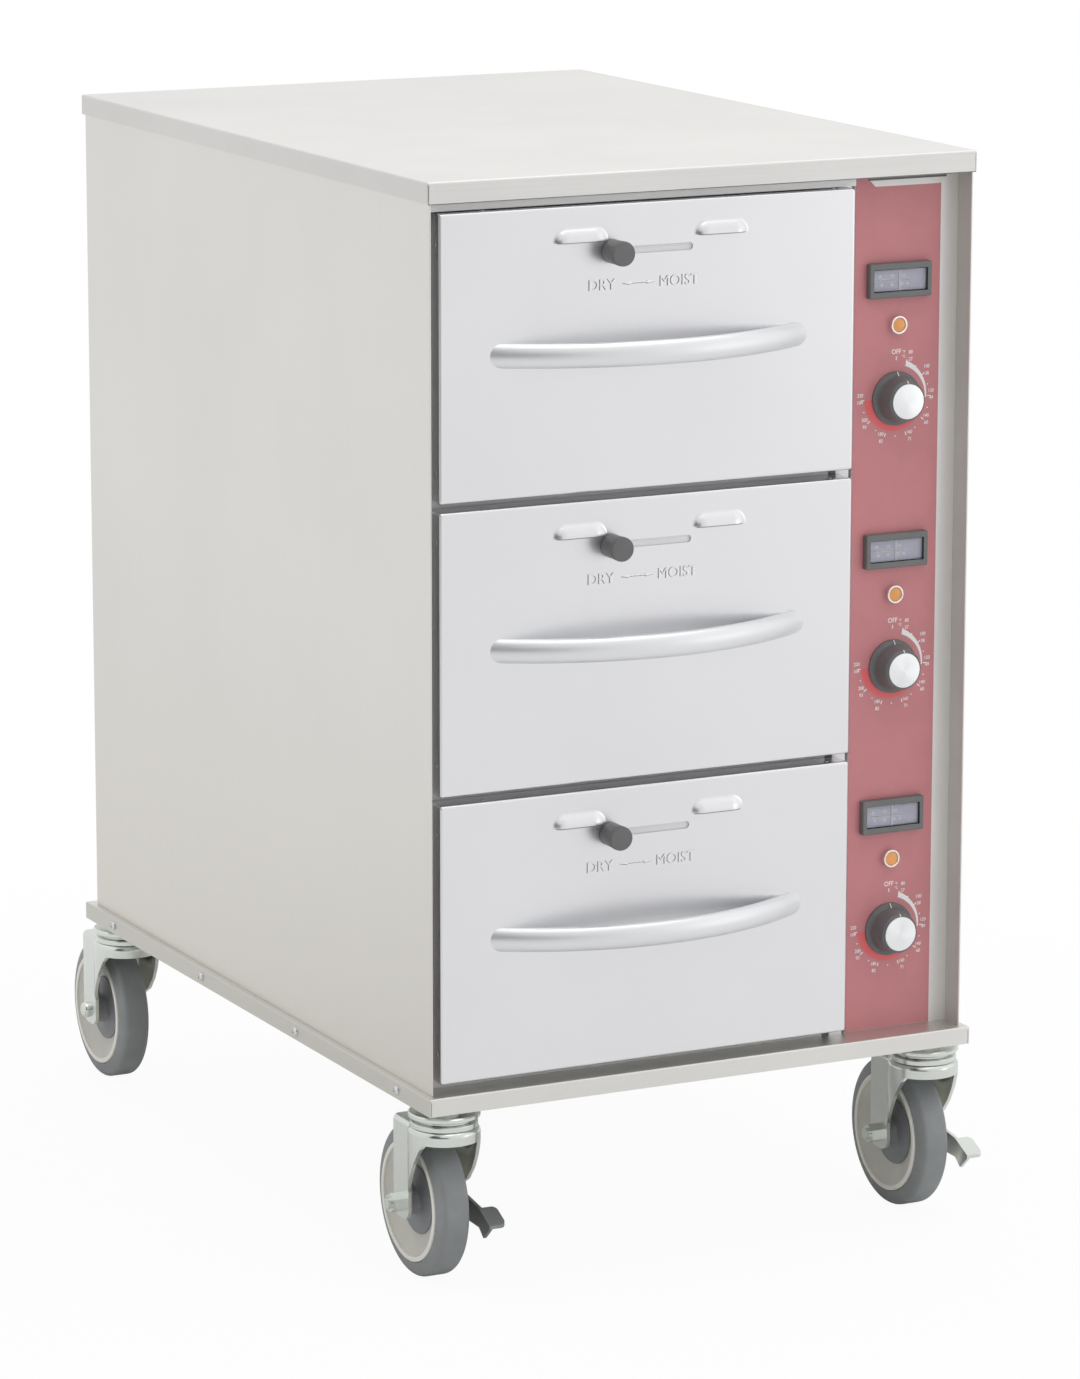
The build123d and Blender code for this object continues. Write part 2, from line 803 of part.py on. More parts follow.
def vent_shutter(number):
    """A sliding plate behind the louvres, with a window for each when it is open."""
    low, high = shutter_levels(number)
    y0 = sheet + running_gap
    y1 = y0 + shutter_thickness
    reach = louvre_offset + louvre_length / 2 + shutter_edge
    plate = block(drawer_x - reach - slot_travel(), drawer_x + reach, y0, y1, low, high)
    window = louvre_length - 2 * shutter_edge
    for x, z in louvre_places(number):
        plate -= block(x - window / 2, x + window / 2, y0 - 1, y1 + 1, z + sheet, z + louvre_rise() - sheet)
    return plate


def vent_knob(number):
    """The round knob that slides in the slot, on a shank that stands on the shutter."""
    x = drawer_x - slot_travel() / 2
    z = front_base(number) + front_height - slot_drop
    shank = rod_y(shank_diameter / 2, x, -running_gap, sheet + running_gap, z)
    grip = rod_y(vent_knob_diameter / 2, x, -vent_knob_reach, -running_gap, z)
    grip = fillet(grip.edges().filter_by(GeomType.CIRCLE).sort_by(Axis.Y)[0], shank_diameter / 4)
    return grip + shank


def drawer_handle(number):
    """A bow handle of oval section that meets the drawer front at both ends."""
    z = front_base(number) + front_height / 2
    reach = handle_reach - handle_thickness / 2
    half = handle_length / 2 - handle_thickness
    radius = (half**2 + reach**2) / (2 * reach)
    sweep_half = math.degrees(math.asin(half / radius) + handle_thickness / radius)
    bow = CenterArc((drawer_x, radius - reach, 0), radius, -90 - sweep_half, 2 * sweep_half)
    path = Pos(0, 0, z) * bow
    start = Plane(origin=path @ 0, x_dir=(0, 0, 1), z_dir=path % 0)
    bar = sweep(start * Ellipse(handle_height / 2, handle_thickness / 2), path)
    x0 = drawer_x - handle_length
    x1 = drawer_x + handle_length
    return bar & block(x0, x1, -2 * handle_reach, 0, z - handle_height, z + handle_height)


def rim_level(number):
    """Height of the underside of a pan's rim, which is the top of its carrier."""
    return opening_base(number) + pan_under_room + pan_depth - carrier_sheet


def pan_carrier(number):
    """A welded frame that closes the drawer front's back and carries the pan by its rim."""
    z0 = front_base(number) + fit_gap
    z1 = front_base(number) + front_height - fit_gap
    plate_half = front_half - fit_gap
    plate = block(drawer_x - plate_half, drawer_x + plate_half, front_depth, front_back, z0, z1)
    window = louvre_length - 2 * shutter_edge
    for x, z in louvre_places(number):
        plate -= block(x - window / 2, x + window / 2, front_depth - 1, front_back + 1, z, z + louvre_rise())
    top = rim_level(number)
    low = top - carrier_depth
    y1 = front_back + carrier_length
    inner = carrier_half - carrier_sheet
    ledge = pan_width / 2 - pan_rim + fit_gap
    carrier = plate
    for side in (-1, 1):
        wall_x = sorted((drawer_x + side * inner, drawer_x + side * carrier_half))
        ledge_x = sorted((drawer_x + side * ledge, drawer_x + side * inner))
        carrier += block(*wall_x, front_back, y1, low, top)
        carrier += block(*ledge_x, front_back, y1, top - carrier_sheet, top)
    carrier += block(drawer_x - inner, drawer_x + inner, y1 - carrier_sheet, y1, low, top)
    return carrier


def pan_form(width, length, corner, floor, rim, floor_radius):
    """The tapered form of a pan between its floor and its rim."""
    shrink = 2 * pan_taper
    top = Pos(0, 0, rim) * RectangleRounded(width, length, corner)
    bottom = Pos(0, 0, floor) * RectangleRounded(width - shrink, length - shrink, corner - pan_taper)
    form = loft([bottom, top], ruled=True)
    return fillet(form.faces().sort_by(Axis.Z)[0].edges(), floor_radius)


def food_pan(number):
    """A full-size food pan that hangs by its rim."""
    rim = rim_level(number)
    floor = rim + carrier_sheet - pan_depth
    width = pan_width - 2 * pan_rim
    length = pan_length - 2 * pan_rim
    corner = pan_rim_radius - pan_rim
    wall = pan_wall
    outside = pan_form(width, length, corner, floor, rim, pan_floor_radius)
    mouth = (width - 2 * wall, length - 2 * wall, corner - wall)
    inside = pan_form(*mouth, floor + wall, rim, pan_floor_radius - wall)
    rim_plate = RectangleRounded(pan_width, pan_length, pan_rim_radius) - RectangleRounded(*mouth)
    pan = outside - inside + Pos(0, 0, rim) * extrude(rim_plate, carrier_sheet)
    return Pos(drawer_x, front_back + pan_end_room + pan_length / 2, 0) * pan


def channel(wall_x, lip_x, height, y0, y1, z):
    """A slide member: a web at one side and a flange above and below it."""
    web_end = wall_x + math.copysign(slide_sheet, lip_x - wall_x)
    x0, x1 = sorted((wall_x, lip_x))
    w0, w1 = sorted((wall_x, web_end))
    member = block(w0, w1, y0, y1, z - height / 2, z + height / 2)
    for edge in (z - height / 2, z + height / 2 - slide_sheet):
        member += block(x0, x1, y0, y1, edge, edge + slide_sheet)
    return member


def slide_members(number):
    """The outer, middle and inner members of a drawer's two telescopic slides."""
    z = rim_level(number) - carrier_depth / 2
    y0 = front_back + pan_end_room
    y1 = y0 + slide_length
    step = slide_sheet + slide_gap
    outer, middle, inner = [], [], []
    for side in (-1, 1):
        wall = drawer_x + side * opening_half
        carrier = drawer_x + side * carrier_half
        outer_lip = carrier + side * 2 * step
        middle_web = wall - side * step
        middle_lip = carrier + side * step
        inner_lip = middle_web - side * step
        outer.append(channel(wall, outer_lip, slide_height, y0, y1, z))
        middle.append(channel(middle_web, middle_lip, slide_height - 2 * step, y0, y1, z))
        inner.append(channel(carrier, inner_lip, slide_height - 4 * step, y0, y1, z))
    return outer, middle, inner


# Casters

caster_places = {
    "front_left": (-caster_x, caster_front_y),
    "front_right": (caster_x, caster_front_y),
    "rear_left": (-caster_x, caster_rear_y),
    "rear_right": (caster_x, caster_rear_y),
}


def caster_stem():
    """The fixed head of a caster: threaded stem, cap, race and kingpin, and the nut on the stem."""
    stem_top = base_top - base_sheet - running_gap
    pin_top = ring_top + running_gap
    pin_low = crown_under - running_gap
    head_low = race_top
    bevel = head_height / 4
    outline = [
        (0, pin_low - pin_head_height),
        (pin_head_diameter / 2, pin_low - pin_head_height),
        (pin_head_diameter / 2, pin_low),
        (pin_diameter / 2, pin_low),
        (pin_diameter / 2, pin_top),
        (race_diameter / 2, pin_top),
        (race_diameter / 2, head_low),
        (head_diameter / 2 - bevel, head_low),
        (head_diameter / 2, head_low + bevel),
        (head_diameter / 2, head_top - bevel),
        (head_diameter / 2 - bevel, head_top),
        (neck_diameter / 2, head_top),
        (neck_diameter / 2, base_bottom),
        (pin_diameter / 2, base_bottom),
        (pin_diameter / 2, stem_top),
        (0, stem_top),
    ]
    nut = Pos(0, 0, base_bottom + rail_sheet) * hexagon_bar(stem_nut_flats, stem_nut_height)
    nut -= rod_z(pin_diameter / 2, 0, 0, base_bottom, base_top)
    return [turned(outline), nut]


def fork_outline():
    """Side view of a fork leg, with the swivel axis at zero and heights from the floor."""
    foot = axle_z - fork_foot
    lip = crown_top - fork_apron
    knee = (fork_flat, axle_z + fork_knee)
    notch = (-fork_shoulder, lip)
    bend = ((knee[0] * 2 + notch[0]) / 3 + fork_sheet, (knee[1] + notch[1] * 2) / 3 - fork_sheet)
    front = -fork_round - fork_sheet
    edge = [
        Line((front, crown_top), (fork_rear, crown_top)),
        Line((fork_rear, crown_top), (fork_rear, foot + foot_round)),
        RadiusArc((fork_rear, foot + foot_round), (fork_rear - foot_round, foot), foot_round),
        Line((fork_rear - foot_round, foot), (fork_flat + foot_round, foot)),
        RadiusArc((fork_flat + foot_round, foot), (fork_flat, foot + foot_round), foot_round),
        Line((fork_flat, foot + foot_round), knee),
        ThreePointArc(knee, bend, notch),
        Line(notch, (front, lip)),
        Line((front, lip), (front, crown_top)),
    ]
    return make_face(edge)


def fork_column(inset, height):
    """An upright bar with a fork's outline from above, drawn in by an inset, up to a height."""
    half = fork_half - inset
    crown = fork_round - inset
    flat = math.sqrt(crown**2 - half**2)
    rear = fork_rear + 2 * inset
    legs = Polyline((-half, flat), (-half, rear), (half, rear), (half, flat))
    bar = extrude(make_face([legs, ThreePointArc((half, flat), (0, -crown), (-half, flat))]), height)
    creases = bar.edges().filter_by(Axis.Z).sort_by(Axis.Y)[:2]
    bar = fillet(creases, fork_crease + inset)
    rim = bar.faces().sort_by(Axis.Z)[-1].edges().sort_by(Axis.Y)[:-1]
    return fillet(rim, fork_bend - inset)


def axle_bolt(braked):
    """A round-headed axle bolt and its nut, through the pedal too where there is one."""
    head_x = pedal_outer + running_gap if braked else fork_half
    head = rod_x(nut_flats / 2, head_x, head_x + bolt_head_height, 0, 0)
    head = fillet(head.edges().sort_by(Axis.X)[-1], bolt_head_round)
    bolt = rod_x(axle_diameter / 2, -axle_end, head_x, 0, 0) + head
    nut = Pos(-fork_half - nut_height, 0, 0) * Rot(0, 90, 0) * hexagon_bar(nut_flats, nut_height)
    nut -= rod_x(axle_diameter / 2, -axle_end, 0, 0, 0)
    return [bolt, nut] if braked else [mirror(bolt, Plane.YZ), mirror(nut, Plane.YZ)]


def caster_fork(braked):
    """A pressed fork with its crown ring, and the axle bolt and nut that it carries."""
    side_plane = Plane(origin=(-fork_round, 0, 0), x_dir=(0, 1, 0), z_dir=(1, 0, 0))
    fork = fork_column(0, crown_top) & extrude(side_plane * fork_outline(), 2 * fork_round)
    fork -= fork_column(fork_sheet, crown_under)
    ring = rod_z(ring_diameter / 2, 0, 0, crown_top, ring_top)
    ring = fillet(ring.faces().sort_by(Axis.Z)[-1].edges(), ring_height / 4)
    fork += ring & block(-ring_diameter, ring_diameter, -ring_diameter, ring_diameter, crown_top, ring_top)
    fork -= rod_z(pin_diameter / 2 + axle_gap, 0, 0, crown_under - 1, ring_top + 1)
    fork -= rod_x(axle_diameter / 2 + axle_gap, -fork_half - 1, fork_half + 1, caster_trail, axle_z)
    axle = Pos(0, caster_trail, axle_z)
    return [fork, *[axle * solid for solid in axle_bolt(braked)]]


def caster_wheel():
    """A wheel of a dished core, a tyre and a cover on each side of its web, turned about its axle."""
    place = Pos(0, caster_trail, axle_z) * Rot(0, 90, 0)
    tread = wheel_diameter / 2
    rim = tread - tyre_thickness
    half = wheel_width / 2
    bead = half - bead_step
    edge = half - tread_edge
    bore = axle_diameter / 2 + axle_gap
    hub = hub_diameter / 2
    web = dish_thickness / 2
    dish = dish_diameter / 2
    core = [
        (bore, -hub_half),
        (hub, -hub_half),
        (hub, -web),
        (dish, -web),
        (rim - rim_thickness, -half),
        (rim, -half),
        (rim, half),
        (rim - rim_thickness, half),
        (dish, web),
        (hub, web),
        (hub, hub_half),
        (bore, hub_half),
    ]
    cover = [
        (hub, web),
        (dish, web),
        (dish - hub_cover, web + hub_cover),
        (hub, web + hub_cover),
    ]
    tyre = [
        (rim, -bead),
        (tread - wheel_shoulder, -(bead + edge) / 2),
        (tread, -edge),
        (tread, edge),
        (tread - wheel_shoulder, (bead + edge) / 2),
        (rim, bead),
    ]
    near_cover = turned(cover)
    far_cover = mirror(near_cover, Plane.XY)
    return [place * solid for solid in (turned(core), turned(tyre), near_cover, far_cover)]


def brake_pedal():
    """A foot lever outside one fork leg, pivoted on the axle, with a tread tab at its front."""
    plane = Plane(origin=(pedal_inner, caster_trail, axle_z), x_dir=(0, 1, 0), z_dir=(1, 0, 0))
    drop = pedal_tab_length * math.tan(math.radians(pedal_slope))
    rear = pedal_tab_length - pedal_reach
    web = [
        (0, pedal_eye_radius),
        (rear, pedal_sheet),
        (-pedal_reach, pedal_sheet - drop),
        (-pedal_reach, pedal_sheet - drop - pedal_sheet),
        (pedal_eye_radius - pedal_reach, pedal_sheet - drop - pedal_web),
        (rear, -pedal_web),
        (0, -pedal_eye_radius),
    ]
    eye = Circle(pedal_eye_radius) + make_face(Polyline(*web, close=True))
    lever = extrude(plane * eye, pedal_sheet)
    tab = [
        (rear, pedal_sheet),
        (-pedal_reach, pedal_sheet - drop),
        (-pedal_reach, -drop),
        (rear, 0),
    ]
    tab_plane = Plane(origin=(pedal_outer, caster_trail, axle_z), x_dir=(0, 1, 0), z_dir=(1, 0, 0))
    lever += extrude(tab_plane * make_face(Polyline(*tab, close=True)), pedal_tab_width)
    corners = lever.edges().filter_by(Axis.Z).sort_by(Axis.X)[-2:]
    lever = fillet(corners, pedal_tab_corner)
    bore = axle_diameter / 2 + axle_gap
    return lever - rod_x(bore, pedal_inner - 1, pedal_outer + 1, caster_trail, axle_z)


# Write one file for each node

os.makedirs("parts", exist_ok=True)

save("top_cover", top_cover())
save("left_side_panel", side_panel(-1))
save("right_side_panel", side_panel(1))
save("back_panel", back_panel())
save("base_tray", base_tray())
save("caster_rails", caster_rail(-1), caster_rail(1))
save("front_frame", front_frame())
save("compartment_liners", *[compartment_liner(n) for n in numbers])
save("insulation", insulation())
save("heating_elements", *[heating_element(n) for n in numbers])
save("cord_gland", *cord_gland())
save("cabinet_screws", *cabinet_screws())
save("control_panel", control_panel())
save("control_overlay", control_overlay())
save("thermometer_cases", *[thermometer_case(n) for n in numbers])
save("thermometer_windows", *[thermometer_window(n) for n in numbers])
save("indicator_lights", *[solid for n in numbers for solid in indicator_light(n)])
save("thermostats", *[thermostat(n) for n in numbers])

slides = {n: slide_members(n) for n in numbers}
save("slide_outer_members", *[member for n in numbers for member in slides[n][0]])
for n in numbers:
    save(f"slide_middle_{n}", *slides[n][1])
    save(f"slide_inner_{n}", *slides[n][2])
    save(f"drawer_front_{n}", drawer_front(n))
    save(f"drawer_handle_{n}", drawer_handle(n))
    save(f"pan_carrier_{n}", pan_carrier(n))
    save(f"food_pan_{n}", food_pan(n))
    save(f"vent_shutter_{n}", vent_shutter(n))
    save(f"vent_knob_{n}", vent_knob(n))
    save(f"thermostat_knob_{n}", *thermostat_knob(n))
    save(f"thermometer_pointer_{n}", thermometer_pointer(n))

stem_solids = caster_stem()
wheel_solids = caster_wheel()
save("caster_stems", *[Pos(x, y, 0) * solid for x, y in caster_places.values() for solid in stem_solids])
for corner, (x, y) in caster_places.items():
    braked = corner.startswith("front")
    save(f"caster_fork_{corner}", *[Pos(x, y, 0) * solid for solid in caster_fork(braked)])
    save(f"caster_wheel_{corner}", *[Pos(x, y, 0) * solid for solid in wheel_solids])
    if braked:
        save(f"brake_pedal_{corner}", Pos(x, y, 0) * brake_pedal())

print(f"cabinet {lid_width:.1f} wide, {lid_depth:.1f} deep, {lid_top:.1f} high")
print(f"drawer front {2 * front_half:.1f} by {front_height:.1f}")
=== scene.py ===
"""Looks of a mobile warming cabinet: its finishes, printed dials, small fittings and the studio round it.

Sizes and places are in metres, and the angles among the named sizes are in degrees.
"""

import logging
import math
from dataclasses import dataclass
from enum import Enum
from typing import Callable, Iterable, Sequence

import bmesh
import bpy
from mathutils import Matrix, Vector


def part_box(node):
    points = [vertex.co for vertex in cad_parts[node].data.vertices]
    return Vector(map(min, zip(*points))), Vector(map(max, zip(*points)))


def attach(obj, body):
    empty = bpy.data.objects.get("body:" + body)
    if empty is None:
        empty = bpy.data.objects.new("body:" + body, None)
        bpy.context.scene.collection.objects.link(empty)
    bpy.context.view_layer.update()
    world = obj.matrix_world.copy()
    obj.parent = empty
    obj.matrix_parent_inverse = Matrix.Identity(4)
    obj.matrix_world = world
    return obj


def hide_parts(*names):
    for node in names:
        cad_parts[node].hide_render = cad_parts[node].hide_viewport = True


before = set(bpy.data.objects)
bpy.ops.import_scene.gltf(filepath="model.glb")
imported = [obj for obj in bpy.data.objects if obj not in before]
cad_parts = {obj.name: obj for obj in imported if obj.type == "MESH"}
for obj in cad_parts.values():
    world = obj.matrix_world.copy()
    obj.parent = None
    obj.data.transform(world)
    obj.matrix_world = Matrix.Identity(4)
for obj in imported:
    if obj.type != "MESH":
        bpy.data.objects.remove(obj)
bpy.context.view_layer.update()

log = logging.getLogger("warming_cabinet")

Colour = tuple[float, float, float]
Point = tuple[float, float, float]
Outline = Sequence[tuple[float, float]]
Socket = bpy.types.NodeSocket

DRAWERS = (1, 2, 3)
CORNERS = ("front_left", "front_right", "rear_left", "rear_right")
SCREEN_TOP = 255
SCREEN_TOE = 0.04045
SCREEN_SLOPE = 12.92
SCREEN_LIFT = 0.055
SCREEN_POWER = 2.4
NUMBER = "ShaderNodeMath"
VECTOR = "ShaderNodeVectorMath"
WHITE = (1.0, 1.0, 1.0, 1.0)
MIX_SHARE, MIX_FIRST, MIX_SECOND = 0, 6, 7
MIX_COLOUR = 2
ROUND_STEPS = 64
WHEEL_STEPS = 96
PRINT_DEPTH = 0.00008
LETTER_EXTRUDE = 0.5
LETTER_STEPS = 4
WELD_GAP = 0.00001
EDGE_STEPS = 2
EDGE_ANGLE = math.radians(40)
FACING_FRONT = Matrix.Rotation(math.pi / 2, 4, "X")
FACING_LEFT = Matrix.Rotation(-math.pi / 2, 4, "Y")
AXLE_ALONG_X = Matrix.Rotation(math.pi / 2, 4, "Y")


def shown(red: int, green: int, blue: int) -> Colour:
    """Give the scene's colour for one that is known as it shows on a screen.

    Args:
        red: Screen level from 0 to 255.
        green: Screen level from 0 to 255.
        blue: Screen level from 0 to 255.

    Returns:
        The colour in linear light.
    """
    levels = []
    for level in (red, green, blue):
        share = level / SCREEN_TOP
        curved = ((share + SCREEN_LIFT) / (1 + SCREEN_LIFT)) ** SCREEN_POWER
        levels.append(share / SCREEN_SLOPE if share < SCREEN_TOE else curved)
    return (levels[0], levels[1], levels[2])


class Grain(Enum):
    """The way a sheet's polishing lines run, as noise cells per metre along X, Y and Z."""

    ALONG_X = (9.0, 1500.0, 1500.0)
    ALONG_Y = (1500.0, 9.0, 1500.0)
    ALONG_Z = (1500.0, 1500.0, 9.0)
    NONE = (420.0, 420.0, 420.0)


class Nodes:
    """A node tree, with short ways to add and link its nodes."""

    def __init__(self, tree: bpy.types.NodeTree) -> None:
        """Work on that tree."""
        self.tree = tree

    def put(self, socket: Socket, value: object) -> None:
        """Set a socket, or link it.

        Args:
            socket: The socket to set.
            value: A plain value, or another socket to link.
        """
        if isinstance(value, Socket):
            self.tree.links.new(value, socket)
        else:
            socket.default_value = value

    def fill(self, node: bpy.types.Node, inputs: dict[str, object]) -> None:
        """Set or link a node's inputs, named with underscores for spaces."""
        for name, value in inputs.items():
            self.put(node.inputs[name.replace("_", " ")], value)

    def add(self, kind: str, **inputs: object) -> bpy.types.Node:
        """Add a node.

        Args:
            kind: The node's type.
            inputs: Sockets by name, with underscores for spaces, each with a value or a socket to link.

        Returns:
            The node.
        """
        node = self.tree.nodes.new(kind)
        self.fill(node, inputs)
        return node

    def work(self, kind: str, operation: str, *values: object) -> Socket:
        """Work out one step of arithmetic.

        Args:
            kind: The node's type, for numbers or for vectors.
            operation: The step's name.
            values: Values or sockets, in the node's order.

        Returns:
            The result.
        """
        node = self.tree.nodes.new(kind)
        node.operation = operation
        for socket, value in zip(node.inputs, values):
            self.put(socket, value)
        return node.outputs[0]

    def span(self, level: Socket, low: float, high: float, start: float = 0.0, end: float = 1.0) -> Socket:
        """Spread a level from start to end over low to high.

        Args:
            level: The level to spread.
            low: Result at start.
            high: Result at end.
            start: Level that gives low.
            end: Level that gives high.

        Returns:
            The spread level.
        """
        ends = {"From_Min": start, "From_Max": end, "To_Min": low, "To_Max": high}
        return self.add("ShaderNodeMapRange", Value=level, **ends).outputs[0]

    def show(self, kind: str, share: Socket, first: bpy.types.Node, second: bpy.types.Node) -> None:
        """End the tree in a mix of two shaders.

        Args:
            kind: The output node's type.
            share: Nought for the first shader, one for the second.
            first: The first shader.
            second: The second shader.
        """
        blend = self.add("ShaderNodeMixShader")
        for socket, value in zip(blend.inputs, (share, first.outputs[0], second.outputs[0])):
            self.put(socket, value)
        self.add(kind, Surface=blend.outputs[0])


class Shader(Nodes):
    """A material with one principled shader, and the nodes that the finishes share."""

    noise_range: tuple[float, float] = (0.3, 0.7)

    def __init__(self, name: str) -> None:
        """Start a material.

        Args:
            name: The material's name.
        """
        self.material = bpy.data.materials.new(name)
        self.material.use_nodes = True
        super().__init__(self.material.node_tree)
        self.surface = self.tree.nodes["Principled BSDF"]

    def set(self, **inputs: object) -> None:
        """Set or link the shader's own inputs, named with underscores for spaces."""
        self.fill(self.surface, inputs)

    def place(self) -> Socket:
        """Give the place in Object coordinates."""
        return self.add("ShaderNodeTexCoord").outputs["Object"]

    def along(self, axis: str) -> Socket:
        """Give the place along one axis in Object coordinates."""
        return self.add("ShaderNodeSeparateXYZ", Vector=self.place()).outputs[axis]

    def noise(self, cells: Point, detail: float) -> Socket:
        """Add a noise on Object coordinates.

        Args:
            cells: Noise cells per metre along each axis.
            detail: Finer layers in the noise.

        Returns:
            The noise's level.
        """
        scaled = self.add("ShaderNodeMapping", Vector=self.place(), Scale=cells).outputs[0]
        return self.add("ShaderNodeTexNoise", Vector=scaled, Scale=1.0, Detail=detail).outputs[0]

    def grade(self, noise: Socket, low: float, high: float) -> Socket:
        """Spread the middle of a noise over low to high."""
        return self.span(noise, low, high, *self.noise_range)

    def mix(self, level: Socket, first: Colour | Socket, second: Colour) -> Socket:
        """Mix two colours by a level.

        Args:
            level: Nought for the first, one for the second.
            first: The first colour, or a socket that gives it.
            second: The second colour.

        Returns:
            The mixed colour.
        """
        node = self.tree.nodes.new("ShaderNodeMix")
        node.data_type = "RGBA"
        self.put(node.inputs[MIX_SHARE], level)
        self.put(node.inputs[MIX_FIRST], first if isinstance(first, Socket) else (*first, 1.0))
        self.put(node.inputs[MIX_SECOND], (*second, 1.0))
        return node.outputs[MIX_COLOUR]

    def patchy(self, noise: Socket, colour: Colour, share: float) -> Socket:
        """Vary a colour's level along a noise.

        Args:
            noise: The noise that the patches follow.
            colour: The colour at its middle.
            share: How far its level goes either way.

        Returns:
            The varied colour.
        """
        dull = tuple(level * (1 - share) for level in colour)
        bright = tuple(min(1.0, level * (1 + share)) for level in colour)
        return self.mix(self.grade(noise, 0.0, 1.0), dull, bright)

    def bump(self, level: Socket, depth: float) -> None:
        """Raise the surface by a level, to a depth in metres."""
        raised = self.add("ShaderNodeBump", Distance=depth, Height=level)
        self.set(Normal=raised.outputs["Normal"])


@dataclass(frozen=True)
class Finish:
    """A finish by its name and main colour; each kind of finish sets its own shader."""

    name: str
    colour: Colour

    def shade(self, shader: Shader) -> None:
        """Set the shader for this finish."""
        raise NotImplementedError

    def material(self) -> bpy.types.Material:
        """Build the finish's material.

        Returns:
            The material.
        """
        shader = Shader(self.name)
        self.shade(shader)
        return shader.material


@dataclass(frozen=True)
class Steel(Finish):
    """Sheet metal with polishing lines, faint clouds and a satin gloss.

    A fade leads to a second colour between two places along its axis, and a lean turns the facets sideways.
    """

    grain: Grain = Grain.NONE
    rough: float = 0.36
    spread: float = 0.06
    line_depth: float = 0.000012
    line_detail: float = 3.0
    cloud: float = 0.05
    cloud_cells: float = 7.0
    cloud_detail: float = 4.0
    metallic: float = 1.0
    fade: tuple[float, float] | None = None
    faded: Colour = (0.0, 0.0, 0.0)
    fade_axis: str = "X"
    lean: float = 0.0

    def shade(self, shader: Shader) -> None:
        """Set the shader for sheet metal.

        Args:
            shader: The shader to set.
        """
        lines = shader.noise(self.grain.value, self.line_detail)
        clouds = shader.noise((self.cloud_cells,) * 3, self.cloud_detail)
        tone = shader.patchy(clouds, self.colour, self.cloud)
        if self.fade:
            share = shader.span(shader.along(self.fade_axis), 0.0, 1.0, *self.fade)
            tone = shader.mix(share, tone, self.faded)
        gloss = shader.grade(lines, self.rough - self.spread, self.rough + self.spread)
        shader.set(Metallic=self.metallic, Base_Color=tone, Roughness=gloss)
        if self.lean:
            facet = shader.add("ShaderNodeCombineXYZ", X=self.lean, Y=-math.sqrt(1 - self.lean**2))
            shader.set(Normal=facet.outputs[0])
        else:
            shader.bump(lines, self.line_depth)


@dataclass(frozen=True)
class Moulded(Finish):
    """Moulded plastic, print or rubber: a fine skin texture and slight changes of tone."""

    rough: float = 0.45
    spread: float = 0.05
    tone: float = 0.08
    tone_cells: float = 45.0
    tone_detail: float = 3.0
    skin_cells: float = 1400.0
    skin_detail: float = 2.0
    skin_depth: float = 0.00002
    specular: float = 0.5
    coat: float = 0.0
    coat_rough: float = 0.08

    def shade(self, shader: Shader) -> None:
        """Set the shader for a moulded or printed skin.

        Args:
            shader: The shader to set.
        """
        skin = shader.noise((self.skin_cells,) * 3, self.skin_detail)
        patches = shader.noise((self.tone_cells,) * 3, self.tone_detail)
        shader.set(Specular_IOR_Level=self.specular, Coat_Weight=self.coat, Coat_Roughness=self.coat_rough)
        gloss = shader.grade(skin, self.rough - self.spread, self.rough + self.spread)
        shader.set(Base_Color=shader.patchy(patches, self.colour, self.tone), Roughness=gloss)
        shader.bump(skin, self.skin_depth)


@dataclass(frozen=True)
class Clear(Finish):
    """A clear window with faint wiping marks."""

    colour: Colour = (0.97, 0.97, 0.98)
    wipe_cells: Point = (60.0, 60.0, 14.0)
    wipe_detail: float = 3.0
    haze: float = 0.06
    refraction: float = 1.25

    def shade(self, shader: Shader) -> None:
        """Set the shader for a clear window.

        Args:
            shader: The shader to set.
        """
        wiped = shader.grade(shader.noise(self.wipe_cells, self.wipe_detail), 0.0, self.haze)
        shader.set(Base_Color=(*self.colour, 1.0), Roughness=wiped)
        shader.set(Transmission_Weight=1.0, IOR=self.refraction)


@dataclass(frozen=True)
class TurnedCap(Finish):
    """Aluminium faced on a lathe, with fine rings and a gloss that fans out from its middle."""

    middle: Point
    ring_scale: float = 900.0
    ring_waver: float = 2.0
    ring_depth: float = 0.000008
    smoothest: float = 0.24
    roughest: float = 0.34
    fan: float = 0.85

    def shade(self, shader: Shader) -> None:
        """Set the shader for a turned face.

        Args:
            shader: The shader to set.
        """
        away = tuple(-part for part in self.middle)
        centred = shader.add("ShaderNodeMapping", Vector=shader.place(), Location=away).outputs[0]
        wave = {"Scale": self.ring_scale, "Distortion": self.ring_waver}
        rings = shader.add("ShaderNodeTexWave", Vector=centred, **wave)
        rings.wave_type = "RINGS"
        rings.rings_direction = "Y"
        turned = shader.add("ShaderNodeTangent")
        turned.direction_type = "RADIAL"
        turned.axis = "Y"
        gloss = shader.span(rings.outputs[1], self.smoothest, self.roughest)
        shader.set(Metallic=1.0, Base_Color=(*self.colour, 1.0), Roughness=gloss)
        shader.set(Anisotropic=self.fan, Tangent=turned.outputs[0])
        shader.bump(rings.outputs[1], self.ring_depth)


